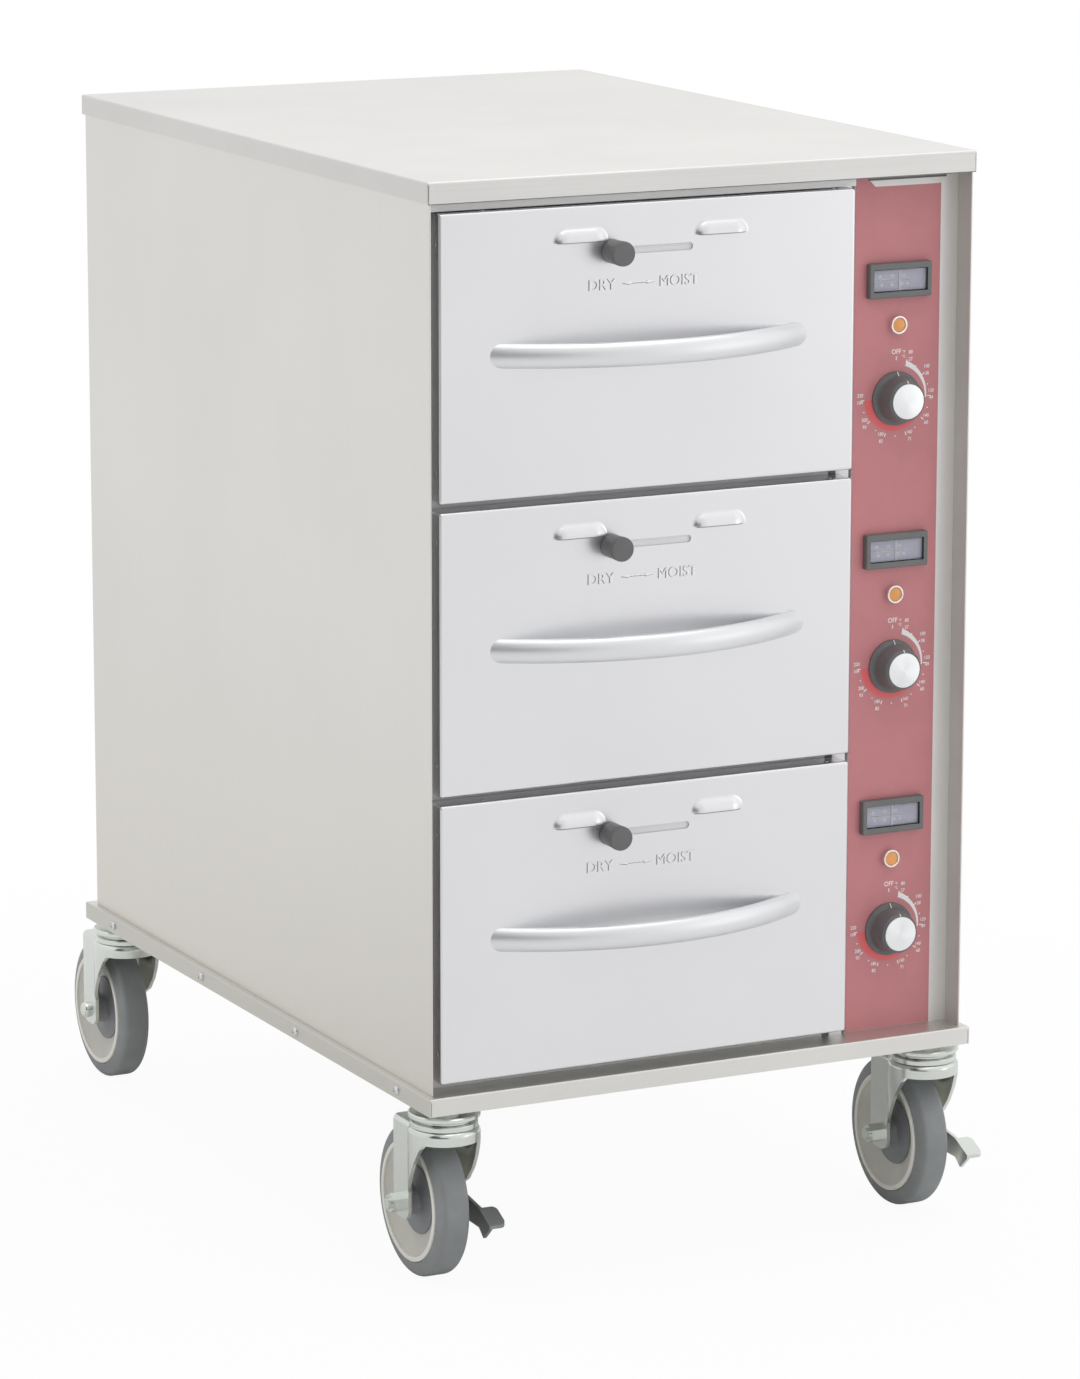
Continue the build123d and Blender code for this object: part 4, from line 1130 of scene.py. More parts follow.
@dataclass
class Drawer:
    """One drawer: its steel front, bow handle, pan, slides, vent knob and stamped words."""

    palette: Palette
    number: int
    word_drop: float = 0.0670
    word_height: float = 0.0090
    word_depth: float = 0.0006
    word_edge: float = 0.0008
    dry_offset: float = -0.0452
    arrow_offset: float = -0.0116
    moist_offset: float = 0.0270
    arrow_length: float = 0.0315
    arrow_head: float = 0.0080
    arrow_line: float = 0.0008
    hood_length: float = 0.0490
    hood_radius: float = 0.0160
    hood_reach: float = 0.0045
    hood_offset: float = 0.0660
    hood_drop: float = 0.0300
    hood_root: float = 0.0025
    hood_edge: float = 0.0006
    hood_steps: int = 24
    grip_ribs: int = 40
    rib_depth: float = 0.00035
    rib_steps: int = 6
    rib_margin: float = 0.0003
    grip_gap: float = 0.0004
    grip_foot: float = 0.0006
    grip_round: float = 0.0012
    grip_shoulder: float = 0.0060
    shoulder_round: float = 0.0002
    shank_radius: float = 0.0029
    screw_radius: float = 0.0021
    screw_height: float = 0.0008
    screw_rim: float = 0.0002
    screw_crown: float = 0.0060
    screw_steps: int = 16
    screw_pair: int = 2
    screw_depth: float = 0.0085
    screw_end: float = 0.0260
    screw_left: float = 0.0430
    screw_right: float = 0.0180
    carrier_edge: float = 0.0003

    def on_front(self, across: float, drop: float) -> Vector:
        """Find a spot on the face of the drawer front.

        Args:
            across: How far right of its middle.
            drop: How far under its top edge.

        Returns:
            The spot.
        """
        low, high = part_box(f"drawer_front_{self.number}")
        _, handle_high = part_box(f"drawer_handle_{self.number}")
        return Vector(((low.x + high.x) / 2 + across, handle_high.y, high.z - drop))

    def dress_nodes(self) -> None:
        """Dress the drawer's CAD nodes."""
        look = self.palette
        plain = {
            "drawer_front": look.front_steel,
            "drawer_handle": look.satin,
            "food_pan": look.pan_steel,
            "slide_middle": look.zinc,
            "slide_inner": look.zinc,
            "vent_shutter": look.shutter,
        }
        for node, finish in plain.items():
            dress(f"{node}_{self.number}", finish)
        dress(f"pan_carrier_{self.number}", look.inner_steel, self.carrier_edge)

    def arrow_outline(self) -> list[tuple[float, float]]:
        """Draw a thin arrow with a head at each end.

        Returns:
            The outline's corners.
        """
        half, neck = self.arrow_length / 2, self.arrow_length / 2 - self.arrow_head
        line, barb = self.arrow_line / 2, self.arrow_head / 6
        right = [(neck, -line), (neck, -barb), (half, 0.0), (neck, barb), (neck, line)]
        return right + [(-x, -z) for x, z in right]

    def add_words(self) -> None:
        """Raise the two plain words of the vent and the arrow between them, with painted shade on their left
        edges and painted highlight on their right edges.
        """
        spot = self.on_front(0.0, self.word_drop)
        look = self.palette
        # The shifted layers are painted shade (left) and painted highlight (right) around the plain letters.
        layers = (
            ("vent_words", 0.0, self.word_depth, look.front_steel),
            ("vent_word_shades", -self.word_edge, self.word_depth / 2, look.word_shade),
            ("vent_word_lights", self.word_edge, self.word_depth / 2, look.word_light),
        )
        body = f"drawer_{self.number}"
        for name, shift, depth, finish in layers:
            meshes = []
            for word, offset in (("DRY", self.dry_offset), ("MOIST", self.moist_offset)):
                place = facing_front(spot + Vector((offset + shift, 0, 0)))
                meshes.append(letters(word, self.word_height, 1.0, depth, place))
            if shift:
                place = facing_front(spot + Vector((self.arrow_offset + shift / 2, 0, shift / 3)))
                thickness = depth / 2 if shift > 0 else depth / 4
                meshes.append(plate(self.arrow_outline(), thickness, place))
            add_piece(f"{name}_{self.number}", joined(meshes), finish, body)

    def add_hood_edges(self) -> None:
        """Line the lower edges of the two hood louvres with a dark strip: their cut sheet edge, darkened as
        painted shadow.
        """
        inset = self.hood_radius - self.hood_reach
        straight = self.hood_length / 2 - math.sqrt(self.hood_radius**2 - inset**2)
        outer, inner = [], []
        for step in range(self.hood_steps + 1):
            across = (step / self.hood_steps - 0.5) * (self.hood_length - 2 * self.hood_root)
            past = max(abs(across) - straight, 0.0)
            reach = math.sqrt(self.hood_radius**2 - past**2) - inset
            outer.append((across, -reach - self.hood_edge / 4))
            inner.append((across, -reach + self.hood_edge))
        lows, tops = [-self.hood_edge] * len(outer), [self.hood_edge / 4] * len(outer)
        meshes = []
        for side in (-1.0, 1.0):
            spot = self.on_front(side * self.hood_offset, self.hood_drop)
            meshes.append(ribbon(outer, inner, lows, tops, Matrix.Translation(spot)))
        # The dark strips are painted shadow along the hoods' cut edges.
        name = f"hood_edges_{self.number}"
        add_piece(name, joined(meshes), self.palette.dark_zinc, f"drawer_{self.number}")

    def add_screws(self, rows: NodeBuilder) -> None:
        """Set small screws in the returns of the drawer front.

        Args:
            rows: The tree that sets parts in a row.
        """
        low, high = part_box(f"drawer_front_{self.number}")
        depth = self.on_front(0.0, 0.0).y + self.screw_depth
        radius, height = self.screw_radius, self.screw_height
        corners = [
            (0, -height / 2, 0),
            (radius, -height / 2, 0),
            (radius, height / 3, self.screw_rim),
            (0, height, self.screw_crown),
        ]
        head = linked("small_screw", lathe(rounded(corners), Matrix.Identity(4), steps=self.screw_steps))
        upright = (0.0, 0.0, high.z - low.z - 2 * self.screw_end)
        level = (high.x - low.x - self.screw_left - self.screw_right, 0.0, 0.0)
        runs = [
            ((low.x, depth, low.z + self.screw_end), upright, (0.0, -math.pi / 2, 0.0)),
            ((high.x, depth, low.z + self.screw_end), upright, (0.0, math.pi / 2, 0.0)),
            ((low.x + self.screw_left, depth, high.z), level, (0.0, 0.0, 0.0)),
        ]
        finish = self.palette.screw_steel
        meshes = [
            rows.mesh(Count=self.screw_pair, First=first, Step=step, Turn=turn, Part=head, Finish=finish)
            for first, step, turn in runs
        ]
        bpy.data.objects.remove(head)
        name = f"front_screws_{self.number}"
        add_piece(name, joined(meshes), finish, f"drawer_{self.number}")

    def add_vent_knob(self) -> None:
        """Make the ribbed knob that slides in the slot."""
        node = f"vent_knob_{self.number}"
        low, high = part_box(node)
        face = self.on_front(0.0, 0.0).y
        radius, reach, depth = (high.x - low.x) / 2, face - low.y, high.y - face
        place = facing_front(((low.x + high.x) / 2, face, (low.z + high.z) / 2))
        shank, neck, shoulder = self.shank_radius, radius - self.rib_depth, reach - self.grip_shoulder
        corners = [
            (0, -depth, 0),
            (shank, -depth, 0),
            (shank, self.grip_gap, 0),
            (neck, self.grip_gap, self.grip_foot),
            (neck, shoulder, 0),
            (radius, shoulder, self.shoulder_round),
            (radius, reach, self.grip_round),
            (0, reach, 0),
        ]

        def ribbed(across: float, angle: float) -> float:
            """Rib the grip's rim alone.

            Args:
                across: The plain radius.
                angle: The angle about the knob's axis.

            Returns:
                The radius at that angle.
            """
            if across < radius - self.rib_margin:
                return across
            return across - self.rib_depth * (0.5 - 0.5 * math.cos(angle * self.grip_ribs))

        mesh = lathe(rounded(corners), place, ripple=ribbed, steps=self.grip_ribs * self.rib_steps)
        name = f"vent_grip_{self.number}"
        knob = add_piece(name, mesh, self.palette.black, f"vent_{self.number}")
        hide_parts(node)


@dataclass(frozen=True)
class Band:
    """A printed band along an arc of a dial, in clock angles from the top, that grows or thins on its way."""

    start: float
    end: float
    inner: float
    outer_start: float
    outer_end: float
    steps: int = 40

    def mesh(self, middle: Matrix) -> bpy.types.Mesh:
        """Make the band.

        Args:
            middle: The dial's middle, facing the front.

        Returns:
            The band's mesh.
        """
        far, near = [], []
        for step in range(self.steps + 1):
            share = step / self.steps
            angle = math.radians(self.start + (self.end - self.start) * share)
            outer = self.outer_start + (self.outer_end - self.outer_start) * share
            far.append((math.sin(angle) * outer, math.cos(angle) * outer))
            near.append((math.sin(angle) * self.inner, math.cos(angle) * self.inner))
        return plate(far + near[::-1], PRINT_DEPTH, middle)


@dataclass
class DialFace:
    """The white and red print round one thermostat knob, in clock angles from the top."""

    low_mark: float = 18.0
    mark_step: float = 36.0
    marks: int = 8
    first_fahrenheit: int = 80
    fahrenheit_step: int = 20
    digit_height: float = 0.0031
    digit_squeeze: float = 0.92
    digit_weight: float = 0.010
    pair_gap: float = 0.0062
    across: float = 0.0352
    up: float = 0.0365
    nudge: float = 0.0035
    lift: float = 0.0015
    tick_start: float = 0.0312
    tick_length: float = 0.0034
    tick_width: float = 0.0009
    dot_radius: float = 0.0330
    dot_size: float = 0.0006
    dot_steps: int = 12
    off_height: float = 0.0405
    off_letters: float = 0.0043
    off_tick: float = 0.0347
    word_squeeze: float = 0.9
    unit_across: float = 0.0075
    unit_letters: float = 0.0026
    units: tuple[tuple[str, float], ...] = (("°F", 0.0400), ("°C", 0.0360))
    white_band: Band = Band(18.0, 92.0, 0.0288, 0.0335, 0.0299)
    red_band: Band = Band(140.0, 270.0, 0.0225, 0.0270, 0.0312)

    def number_meshes(self, middle: Matrix) -> list[bpy.types.Mesh]:
        """Make the pairs of temperatures, Fahrenheit above Celsius.

        Args:
            middle: The dial's middle, facing the front.

        Returns:
            The numbers' meshes.
        """
        meshes = []
        for place in range(self.marks):
            angle = math.radians(self.low_mark + place * self.mark_step)
            fahrenheit = self.first_fahrenheit + place * self.fahrenheit_step
            celsius = round((fahrenheit - 32) * 5 / 9)
            side = math.copysign(1.0, math.sin(angle))
            x = self.across * math.sin(angle) + side * self.nudge * abs(math.cos(angle))
            z = self.up * math.cos(angle) + self.lift
            for value, rise in ((fahrenheit, self.pair_gap / 2), (celsius, -self.pair_gap / 2)):
                spot = middle @ Matrix.Translation((x, z + rise, 0))
                size = (self.digit_height, self.digit_squeeze, PRINT_DEPTH)
                meshes.append(letters(str(value), *size, spot, self.digit_weight))
        return meshes

    def word_meshes(self, middle: Matrix) -> list[bpy.types.Mesh]:
        """Make the word at the top of the dial and the signs of its two units.

        Args:
            middle: The dial's middle, facing the front.

        Returns:
            The words' meshes.
        """
        words = [("OFF", self.off_letters, 0.0, self.off_height)]
        words += [(sign, self.unit_letters, self.unit_across, rise) for sign, rise in self.units]
        meshes = []
        for text, height, across, rise in words:
            spot = middle @ Matrix.Translation((across, rise, 0))
            meshes.append(letters(text, height, self.word_squeeze, PRINT_DEPTH, spot, self.digit_weight))
        return meshes

    def mark_meshes(
        self, centre: Vector, rings: NodeBuilder, finish: bpy.types.Material
    ) -> list[bpy.types.Mesh]:
        """Make the ticks at the numbers and the dots between them.

        Args:
            centre: The dial's middle.
            rings: The tree that sets parts on a ring.
            finish: The print's material.

        Returns:
            The marks' meshes.
        """
        front = Matrix.Translation((0, PRINT_DEPTH / 2, 0)) @ FACING_FRONT
        tick = linked("tick", plate(rectangle(self.tick_width, self.tick_length), PRINT_DEPTH, front))
        dot_outline = [(0, 0), (self.dot_size, 0), (self.dot_size, PRINT_DEPTH), (0, PRINT_DEPTH)]
        dot = linked("dot", lathe(dot_outline, front, steps=self.dot_steps))
        first, step = math.radians(self.low_mark), math.radians(self.mark_step)
        runs = [
            (self.marks, first, self.tick_start + self.tick_length / 2, tick),
            (1, 0.0, self.off_tick, tick),
            (self.marks - 1, first + step / 2, self.dot_radius, dot),
        ]
        shared = {"Middle": centre, "Finish": finish, "Step": step}
        meshes = [
            rings.mesh(Count=count, First=start, Radius=radius, Part=part, **shared)
            for count, start, radius, part in runs
        ]
        for mark in (tick, dot):
            bpy.data.objects.remove(mark)
        return meshes


@dataclass
class Controls:
    """One drawer's thermometer, indicator light and thermostat knob with its dial."""

    palette: Palette
    number: int
    dial: DialFace
    knob_gap: float = 0.0003
    skirt_edge: float = 0.0015
    flare_radius: float = 0.0193
    flare_height: float = 0.0060
    flare_steps: int = 8
    top_radius: float = 0.0175
    top_round: float = 0.0008
    chamfer: float = 0.0022
    cap_radius: float = 0.01525
    cap_seat: float = 0.0008
    seat_round: float = 0.0003
    cap_gap: float = 0.0001
    cap_round: float = 0.0002
    cap_rise: float = 0.0003
    cap_colour: Colour = shown(242, 243, 244)
    line_width: float = 0.0008
    line_start: tuple[float, float] = (0.0004, -0.0012)
    line_end: tuple[float, float] = (-0.0003, 0.0002)
    line_inset: float = 0.0002
    light_ring: float = 0.0079
    light_lens: float = 0.0060
    light_reach: float = 0.0050
    light_rise: float = 0.0640
    ring_round: float = 0.0005
    ring_lip: float = 0.0004
    ring_bevel: float = 0.0008
    lens_gap: float = 0.0001
    lens_drop: float = 0.0009
    lens_round: float = 0.0004
    lens_sink: float = 0.0002
    lens_crown: float = 0.02
    gauge_rise: float = 0.1030
    dial_depth: float = 0.0038
    card_thickness: float = 0.00012
    card_margin: float = 0.001
    sight_width: float = 0.0518
    card_low: float = 0.0094
    card_high: float = 0.0130
    scale_start: float = -0.37
    scale_end: float = 0.19
    scale_ticks: int = 21
    scale_tick: tuple[float, float] = (0.00055, 0.0028)
    scale_line: float = 0.0006
    scale_digits: float = 0.0028
    scale_squeeze: float = 0.8
    scale_weight: float = 0.02
    upper_rise: float = 0.0037
    upper_numbers: tuple[tuple[float, str], ...] = ((0.14, "80"), (0.36, "120"), (0.57, "160"))
    lower_rise: float = -0.0038
    lower_numbers: tuple[tuple[float, str], ...] = ((0.17, "30"), (0.36, "50"), (0.55, "70"), (0.66, "90"))

    def centre(self) -> Vector:
        """Find the knob's axis on the front of the red skin.

        Returns:
            The spot.
        """
        low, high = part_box(f"thermostat_knob_{self.number}")
        skin_low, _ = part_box("control_overlay")
        return Vector(((low.x + high.x) / 2, skin_low.y, (low.z + high.z) / 2))

    def add_dial(self, rings: NodeBuilder) -> None:
        """Print the dial on the red skin.

        Args:
            rings: The tree that sets parts on a ring.
        """
        look, dial, n = self.palette, self.dial, self.number
        centre = self.centre()
        middle = facing_front(centre)
        meshes = dial.mark_meshes(centre, rings, look.white_print)
        meshes += dial.number_meshes(middle)
        meshes += dial.word_meshes(middle)
        meshes.append(dial.white_band.mesh(middle))
        add_piece(f"dial_print_{n}", joined(meshes), look.white_print, "cabinet")
        add_piece(f"dial_band_{n}", dial.red_band.mesh(middle), look.bright_red, "cabinet")

    def line_on_slope(self, inner: tuple[float, float], outer: tuple[float, float]) -> bpy.types.Mesh:
        """Make the white line that runs over one slope of the knob, above its middle.

        Args:
            inner: Radius and height of the line's inner end.
            outer: Radius and height of its outer end.

        Returns:
            The line's mesh, about the knob's own axis.
        """
        run = Vector(outer) - Vector(inner)
        spot = (Vector(outer) + Vector(inner)) / 2
        lean = Matrix.Rotation(math.atan2(run.y, run.x), 4, "X")
        place = Matrix.Translation((0, *spot)) @ lean
        return plate(rectangle(self.line_width, run.length), 2 * PRINT_DEPTH, place)

    def add_knob(self) -> None:
        """Make the skirted knob, its turned cap and its two white lines."""
        look, n = self.palette, self.number
        centre = self.centre()
        middle = facing_front(centre)
        low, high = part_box(f"thermostat_knob_{n}")
        skirt, top, base = (high.x - low.x) / 2, centre.y - low.y, self.knob_gap
        rim, flare, seat = base + self.skirt_edge, base + self.flare_height, top - self.cap_seat
        sweep = []
        for step in range(self.flare_steps + 1):
            angle = math.pi / 2 * step / self.flare_steps
            across = skirt + (self.flare_radius - skirt) * math.sin(angle)
            sweep.append((across, flare + (rim - flare) * math.cos(angle), 0))
        edge = (self.top_radius, top - self.chamfer)
        corners = [
            (0, base, 0),
            (skirt, base, 0),
            *sweep,
            (*edge, self.top_round),
            (self.cap_radius, top, self.seat_round),
            (self.cap_radius, seat, 0),
            (0, seat, 0),
        ]
        body = f"knob_{n}"
        knob = add_piece(f"knob_body_{n}", lathe(rounded(corners), middle), look.black, body)
        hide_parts(f"thermostat_knob_{n}")
        across = self.cap_radius - self.cap_gap
        cap = [(0, seat, 0), (across, seat, 0), (across, top, self.cap_round), (0, top + self.cap_rise, 0)]
        face = TurnedCap(f"turned_cap_{n}", self.cap_colour, tuple(centre)).material()
        add_piece(f"knob_cap_{n}", lathe(rounded(cap), middle), face, body)
        start = (self.flare_radius + self.line_start[0], flare + self.line_start[1])
        end = (skirt + self.line_end[0], rim + self.line_end[1])
        lines = [
            self.line_on_slope(start, end),
            self.line_on_slope((self.cap_radius + self.line_inset, top), edge),
        ]
        for line in lines:
            line.transform(middle)
        add_piece(f"knob_line_{n}", joined(lines), look.white_print, body)

    def add_light(self) -> None:
        """Make the bright ring and the amber lens of the indicator light."""
        look, n = self.palette, self.number
        middle = facing_front(self.centre() + Vector((0, 0, self.light_rise)))
        ring, lens, reach = self.light_ring, self.light_lens, self.light_reach
        corners = [
            (lens, 0, 0),
            (ring, 0, 0),
            (ring, reach, self.ring_round),
            (lens + self.ring_lip, reach, self.ring_lip),
            (lens, reach - self.ring_bevel, 0),
        ]
        ring_mesh = lathe(rounded(corners), middle, closed=True)
        holder = add_piece(f"light_ring_{n}", ring_mesh, look.ring_steel, "cabinet")
        across = lens - self.lens_gap
        dome = [
            (0, 0, 0),
            (across, 0, 0),
            (across, reach - self.lens_drop, self.lens_round),
            (0, reach - self.lens_sink, self.lens_crown),
        ]
        add_piece(f"light_lens_{n}", lathe(rounded(dome), middle), look.amber, "cabinet")
        if n == DRAWERS[0]:
            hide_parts("indicator_lights")

    def scale_meshes(self, centre: Vector, rows: NodeBuilder) -> list[bpy.types.Mesh]:
        """Make the print of the thermometer's scale.

        Args:
            centre: The middle of the card's back.
            rows: The tree that sets parts in a row.

        Returns:
            The meshes of its ticks, line and numbers.
        """
        front = facing_front(centre) @ Matrix.Translation((0, 0, self.card_thickness))
        start, end = self.scale_start * self.sight_width, self.scale_end * self.sight_width
        tick = linked("tick", plate(rectangle(*self.scale_tick), PRINT_DEPTH, FACING_FRONT))
        row = {
            "Count": self.scale_ticks,
            "First": centre + Vector((start, -self.card_thickness, 0)),
            "Step": ((end - start) / (self.scale_ticks - 1), 0.0, 0.0),
            "Turn": (0.0, 0.0, 0.0),
        }
        meshes = [rows.mesh(Part=tick, Finish=self.palette.white_print, **row)]
        bpy.data.objects.remove(tick)
        meshes.append(plate(between(start, end, -self.scale_line, self.scale_line), PRINT_DEPTH, front))
        size = (self.scale_digits, self.scale_squeeze, PRINT_DEPTH)
        for rise, numbers in ((self.upper_rise, self.upper_numbers), (self.lower_rise, self.lower_numbers)):
            for share, text in numbers:
                spot = front @ Matrix.Translation((self.sight_width * (share - 0.5), rise, 0))
                meshes.append(letters(text, *size, spot, self.scale_weight))
        return meshes

    def add_gauge(self, rows: NodeBuilder) -> None:
        """Put the printed card with its scale behind the thermometer's window.

        Args:
            rows: The tree that sets parts in a row.
        """
        look, n = self.palette, self.number
        case_low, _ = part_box("thermometer_cases")
        centre = self.centre() + Vector((0, 0, self.gauge_rise))
        centre.y = case_low.y + self.dial_depth
        half = self.sight_width / 2 + self.card_margin
        sides = between(-half, half, -self.card_low, self.card_high)
        card = plate(sides, self.card_thickness, facing_front(centre))
        add_piece(f"gauge_card_{n}", card, look.gauge_card, "cabinet")
        scale = joined(self.scale_meshes(centre, rows))
        add_piece(f"gauge_scale_{n}", scale, look.white_print, "cabinet")
        dress(f"thermometer_pointer_{n}", look.needle)


@dataclass
class Caster:
    """One swivel caster: its zinc fork, its wheel and, at the front, its brake pedal."""

    palette: Palette
    corner: str
    tread_half: float = 0.0110
    tread_round: float = 0.0045
    shoulder: float = 0.0050
    bead_half: float = 0.0150
    rubber_depth: float = 0.0135
    rim_half: float = 0.0160
    lip_width: float = 0.0044
    lip_step: float = 0.0018
    guard_radius: float = 0.0302
    guard_half: float = 0.0075
    guard_round: float = 0.0010
    guard_sheet: float = 0.0014
    hub_radius: float = 0.0140
    hub_taper: float = 0.0030
    hub_round: float = 0.0006
    hub_foot: float = 0.0022
    foot_round: float = 0.0020
    bore_radius: float = 0.0051
    web_edge: tuple[tuple[float, float], ...] = (
        (-0.0150, 0.1310),
        (-0.0110, 0.1255),
        (-0.0040, 0.1130),
        (0.0030, 0.1000),
        (0.0100, 0.0885),
        (0.0190, 0.0800),
    )
    web_top: float = 0.1375
    web_radius: float = 0.0311
    web_sheet: float = 0.0032
    web_smooth: float = 60.0
    pedal_edge: float = 0.0006

    def dress_nodes(self) -> None:
        """Dress the fork and the brake pedal."""
        look = self.palette
        dress(f"caster_fork_{self.corner}", look.zinc)
        pedals = {"front_left": look.dark_zinc, "front_right": look.zinc}
        if self.corner in pedals:
            dress(f"brake_pedal_{self.corner}", pedals[self.corner], self.pedal_edge)

    def mirrored(self, half: Sequence[tuple[float, float, float]]) -> list[tuple[float, float, float]]:
        """Complete an outline from its upper half, which runs towards the wheel's middle."""
        return list(half) + [(radius, -height, corner) for radius, height, corner in reversed(half)]

    def add_webs(self) -> None:
        """Add the curved webs that brace the fork's two legs under its crown."""
        low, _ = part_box(f"caster_fork_{self.corner}")
        wheel_low, wheel_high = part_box(f"caster_wheel_{self.corner}")
        stem = Matrix.Translation(((wheel_low.x + wheel_high.x) / 2, low.y + self.web_radius, 0))
        lows = [level for _, level in self.web_edge]
        tops = [self.web_top] * len(lows)
        meshes = []
        for side in (-1.0, 1.0):
            outer, inner = (
                [(side * math.sqrt(radius**2 - depth**2), depth) for depth, _ in self.web_edge]
                for radius in (self.web_radius, self.web_radius - self.web_sheet)
            )
            meshes.append(ribbon(outer, inner, lows, tops, stem))
        name, body = f"fork_webs_{self.corner}", f"caster_{self.corner}"
        add_piece(name, joined(meshes), self.palette.zinc, body, self.web_smooth)

    def add_wheel(self) -> None:
        """Turn the tyre, the pale core with a painted highlight on its lips, and the dark thread guards."""
        look, node = self.palette, f"caster_wheel_{self.corner}"
        low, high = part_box(node)
        middle = Matrix.Translation((low + high) / 2) @ AXLE_ALONG_X
        hub_half, tread = (high.x - low.x) / 2, (high.z - low.z) / 2
        rim = tread - self.rubber_depth
        dish = rim - self.lip_width
        rubber = [
            (rim, self.bead_half - self.lip_step, 0),
            (rim + self.lip_step / 2, self.bead_half, self.lip_step / 2),
            (tread - self.shoulder, (self.bead_half + self.tread_half) / 2, self.shoulder),
            (tread, self.tread_half, self.tread_round),
        ]
        pale = [
            (self.guard_radius - self.lip_width, self.guard_half - self.lip_step, 0),
            (self.guard_radius + self.lip_width / 2, self.guard_half - self.lip_step, 0),
            (dish, self.rim_half - self.lip_step, 0),
        ]
        lip = [
            (dish, self.bead_half / 2, 0),
            (dish, self.rim_half, self.lip_step / 2),
            (rim, self.rim_half, self.lip_step / 2),
        ]
        dark = [
            (self.bore_radius, hub_half, 0),
            (self.hub_radius - self.hub_taper, hub_half, self.hub_round),
            (self.hub_radius, self.guard_half + self.hub_foot, self.foot_round),
            (self.guard_radius, self.guard_half, self.guard_round),
            (self.guard_radius, self.guard_half - self.guard_sheet, 0),
        ]
        rings = (
            ("tyre", rubber, look.tyre, "grey_tyre"),
            ("wheel_core", pale, look.wheel_core, "grey_tyre"),
            ("rim_lip", lip, look.rim_lip, "grey_tyre"),
            ("thread_guard", dark, look.guard, "black_plastic"),
        )
        for name, half, finish, slot in rings:
            mesh = lathe(rounded(self.mirrored(half)), middle, closed=True, steps=WHEEL_STEPS)
            piece = add_piece(f"{name}_{self.corner}", mesh, finish, f"wheel_{self.corner}")
            if name == "tyre":
                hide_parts(node)


@dataclass(frozen=True)
class SoftLight:
    """A square light: its place, the length of its sides and its power in watts."""

    name: str
    place: Point
    size: float
    power: float


@dataclass(frozen=True)
class DarkCard:
    """A dark card for the shaded sides of what is round: its place, width and height."""

    place: Point
    width: float
    height: float


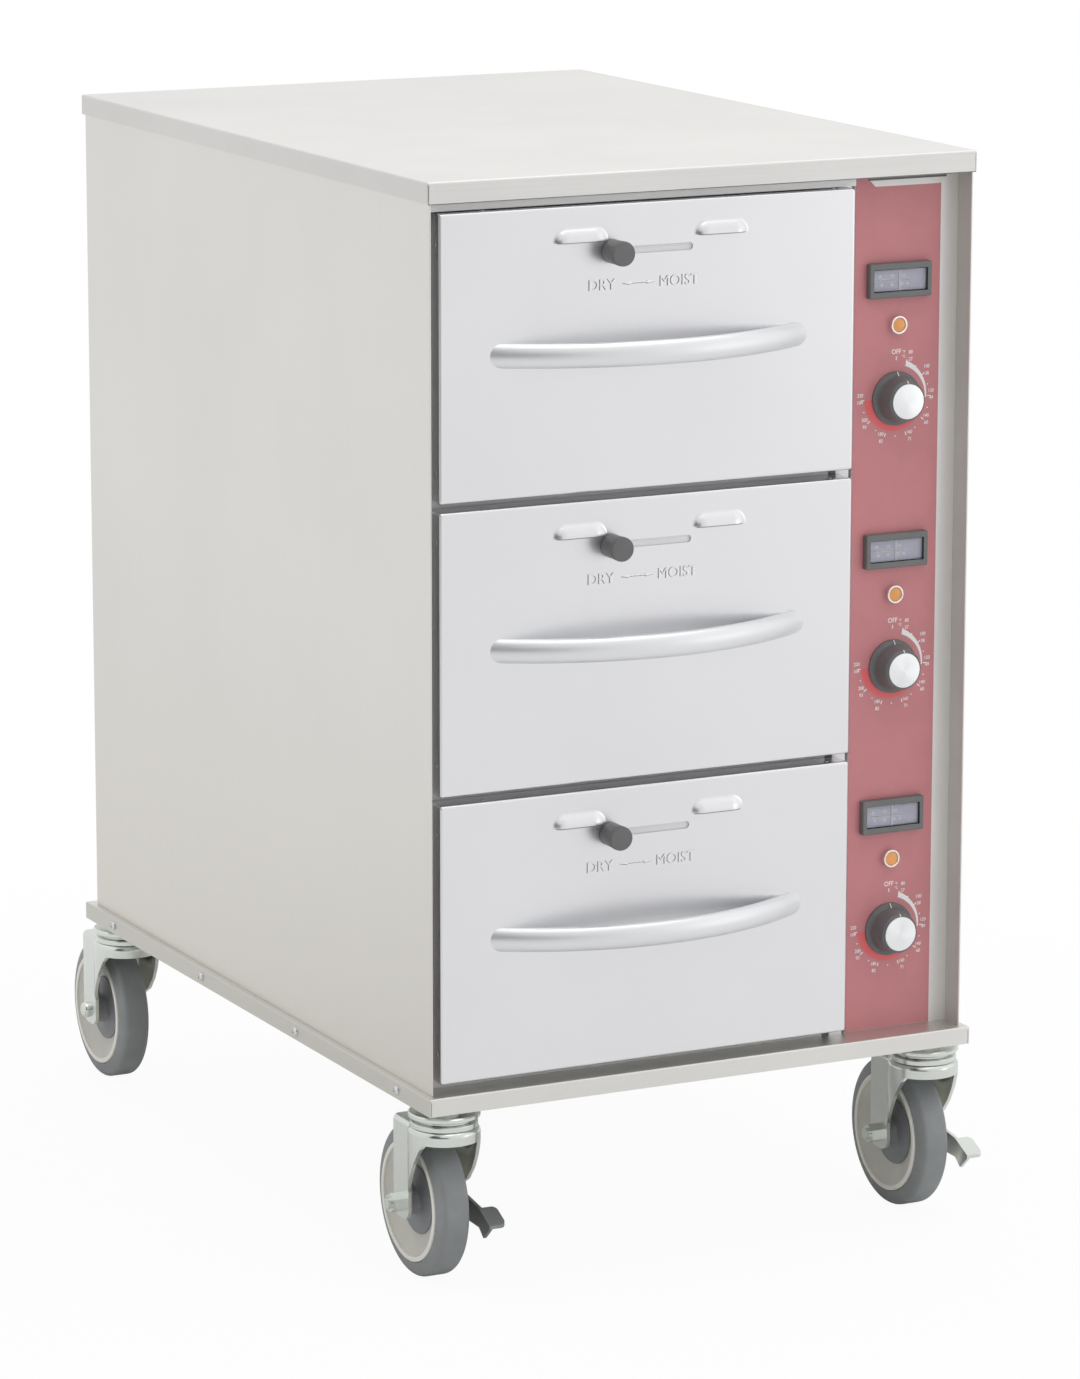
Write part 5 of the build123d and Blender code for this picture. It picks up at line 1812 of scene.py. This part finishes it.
@dataclass
class Studio:
    """The pale floor, the soft lights, the dark cards, the white surroundings and the camera."""

    camera_place: Point = (-2.26926, -4.21319, 1.52137)
    camera_turn: Point = (77.9697, -0.0673, -26.6142)
    lens: float = 150.387
    sensor: float = 36.0
    far_clip: float = 50.0
    floor_half: float = 8.0
    floor_sheet: float = 0.02
    floor_gap: float = 0.0001
    floor_level: Colour = (0.93, 0.93, 0.93)
    shadow_reach: float = 0.75
    white_reach: float = 1.40
    ambient: float = 0.82
    near_white: float = 0.94
    gloss_level: float = 0.86
    low_sky: float = 0.45
    high_sky: float = 0.90
    aim: Point = (0.0, 0.0, 0.5)
    lights: tuple[SoftLight, ...] = (
        SoftLight("overhead_light", (0.2, -0.4, 3.2), 2.6, 20.0),
        SoftLight("front_light", (2.2, -3.2, 2.2), 2.6, 2.0),
        SoftLight("corner_light", (2.3, -2.6, 0.5), 1.2, 2.8),
        SoftLight("right_light", (2.9, -1.3, 1.5), 2.8, 5.0),
    )
    card_level: float = 0.06
    card_rough: float = 0.9
    card_sheet: float = 0.004
    cards: tuple[DarkCard, ...] = (
        DarkCard((-3.0, -2.3, 2.0), 2.0, 3.9),
        DarkCard((-2.7, -5.6, 1.0), 3.0, 1.9),
    )

    def add_camera(self) -> None:
        """Stand the camera where the cabinet was seen from."""
        camera = bpy.data.cameras.new("camera")
        camera.lens = self.lens
        camera.sensor_width = self.sensor
        camera.clip_end = self.far_clip
        holder = linked("camera", camera)
        lid_low, lid_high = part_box("top_cover")
        holder.location = Vector(self.camera_place) + Vector(((lid_low.x + lid_high.x) / 2, lid_low.y, 0))
        holder.rotation_euler = [math.radians(angle) for angle in self.camera_turn]
        bpy.context.scene.camera = holder

    def add_floor(self) -> None:
        """Lay a pale floor that keeps the shadow and turns plain white further out."""
        side, sheet = 2 * self.floor_half, self.floor_sheet
        mesh = plate(rectangle(side, side), sheet, Matrix.Translation((0, 0, -sheet - self.floor_gap)))
        floor = linked("floor", mesh)
        material = bpy.data.materials.new("pale_floor")
        material.use_nodes = True
        nodes = Nodes(material.node_tree)
        nodes.tree.nodes.clear()
        place = nodes.add("ShaderNodeTexCoord").outputs["Object"]
        far = nodes.work(VECTOR, "LENGTH", place).node.outputs["Value"]
        fade = nodes.span(far, 0.0, 1.0, self.shadow_reach, self.white_reach)
        fade.node.interpolation_type = "SMOOTHSTEP"
        rays = nodes.add("ShaderNodeLightPath").outputs
        to_eye = nodes.work(NUMBER, "MULTIPLY", rays["Is Camera Ray"], nodes.span(fade, self.near_white, 1.0))
        to_gloss = nodes.work(NUMBER, "MULTIPLY", rays["Is Glossy Ray"], fade)
        matt = nodes.add("ShaderNodeBsdfDiffuse", Color=(*self.floor_level, 1.0))
        softer = nodes.span(rays["Is Glossy Ray"], 1.0, self.gloss_level)
        white = nodes.add("ShaderNodeEmission", Strength=softer)
        share = nodes.work(NUMBER, "MAXIMUM", to_eye, to_gloss)
        nodes.show("ShaderNodeOutputMaterial", share, matt, white)
        mesh.materials.append(material)

    def add_surroundings(self) -> None:
        """Make the surroundings white to the eye, near white in gloss and softer as a light."""
        world = bpy.data.worlds.new("white_room")
        bpy.context.scene.world = world
        world.use_nodes = True
        nodes = Nodes(world.node_tree)
        nodes.tree.nodes.clear()
        rays = nodes.add("ShaderNodeLightPath").outputs
        way = nodes.add("ShaderNodeTexCoord").outputs["Generated"]
        rise = nodes.add("ShaderNodeSeparateXYZ", Vector=way).outputs["Z"]
        sky = nodes.span(rise, self.gloss_level, 1.0, self.low_sky, self.high_sky)
        level = nodes.work(NUMBER, "MAXIMUM", sky, rays["Is Camera Ray"])
        seen = nodes.work(NUMBER, "MAXIMUM", rays["Is Camera Ray"], rays["Is Glossy Ray"])
        share = nodes.work(NUMBER, "MAXIMUM", seen, rays["Is Transmission Ray"])
        room = nodes.add("ShaderNodeBackground", Color=WHITE, Strength=self.ambient)
        white = nodes.add("ShaderNodeBackground", Color=WHITE, Strength=level)
        nodes.show("ShaderNodeOutputWorld", share, room, white)

    def add_light(self, light: SoftLight) -> None:
        """Hang one soft light that faces the cabinet.

        Args:
            light: The light to hang.
        """
        lamp = bpy.data.lights.new(light.name, "AREA")
        lamp.shape = "SQUARE"
        lamp.size = light.size
        lamp.energy = light.power
        holder = linked(light.name, lamp)
        holder.location = light.place
        aim = Vector(self.aim) - Vector(light.place)
        holder.rotation_euler = aim.to_track_quat("-Z", "Y").to_euler()

    def add_card(self, card: DarkCard) -> None:
        """Stand one dark card that faces the cabinet, hidden from the camera itself.

        Args:
            card: The card to stand.
        """
        x, y, _ = card.place
        turn = Vector((-x, -y, 0.0)).to_track_quat("Z", "Y").to_matrix().to_4x4()
        place = Matrix.Translation(card.place) @ turn
        mesh = plate(rectangle(card.width, card.height), self.card_sheet, place)
        mesh.materials.append(Moulded("dark_card", (self.card_level,) * 3, rough=self.card_rough).material())
        stand = linked("dark_card", mesh)
        stand.visible_camera = False

    def build(self) -> None:
        """Build the whole studio."""
        self.add_camera()
        self.add_floor()
        self.add_surroundings()
        for light in self.lights:
            self.add_light(light)
        for card in self.cards:
            self.add_card(card)
        bpy.context.scene.view_settings.view_transform = "Standard"


def main() -> None:
    """Dress the cabinet piece by piece and light it."""
    logging.basicConfig(level=logging.INFO, format="%(name)s: %(message)s")
    palette = Palette()
    rings, rows = ring_builder(), row_builder()
    cabinet = Cabinet(palette)
    cabinet.dress_nodes()
    cabinet.add_screws(rows)
    cabinet.add_post()
    cabinet.add_hem()
    cabinet.add_top_rail()
    cabinet.add_column_edges()
    for number in DRAWERS:
        drawer = Drawer(palette, number)
        drawer.dress_nodes()
        drawer.add_words()
        drawer.add_hood_edges()
        drawer.add_screws(rows)
        drawer.add_vent_knob()
        controls = Controls(palette, number, DialFace())
        controls.add_dial(rings)
        controls.add_knob()
        controls.add_light()
        controls.add_gauge(rows)
    for corner in CORNERS:
        caster = Caster(palette, corner)
        caster.dress_nodes()
        caster.add_wheel()
        caster.add_webs()
    Studio().build()


if __name__ == "__main__":
    main()
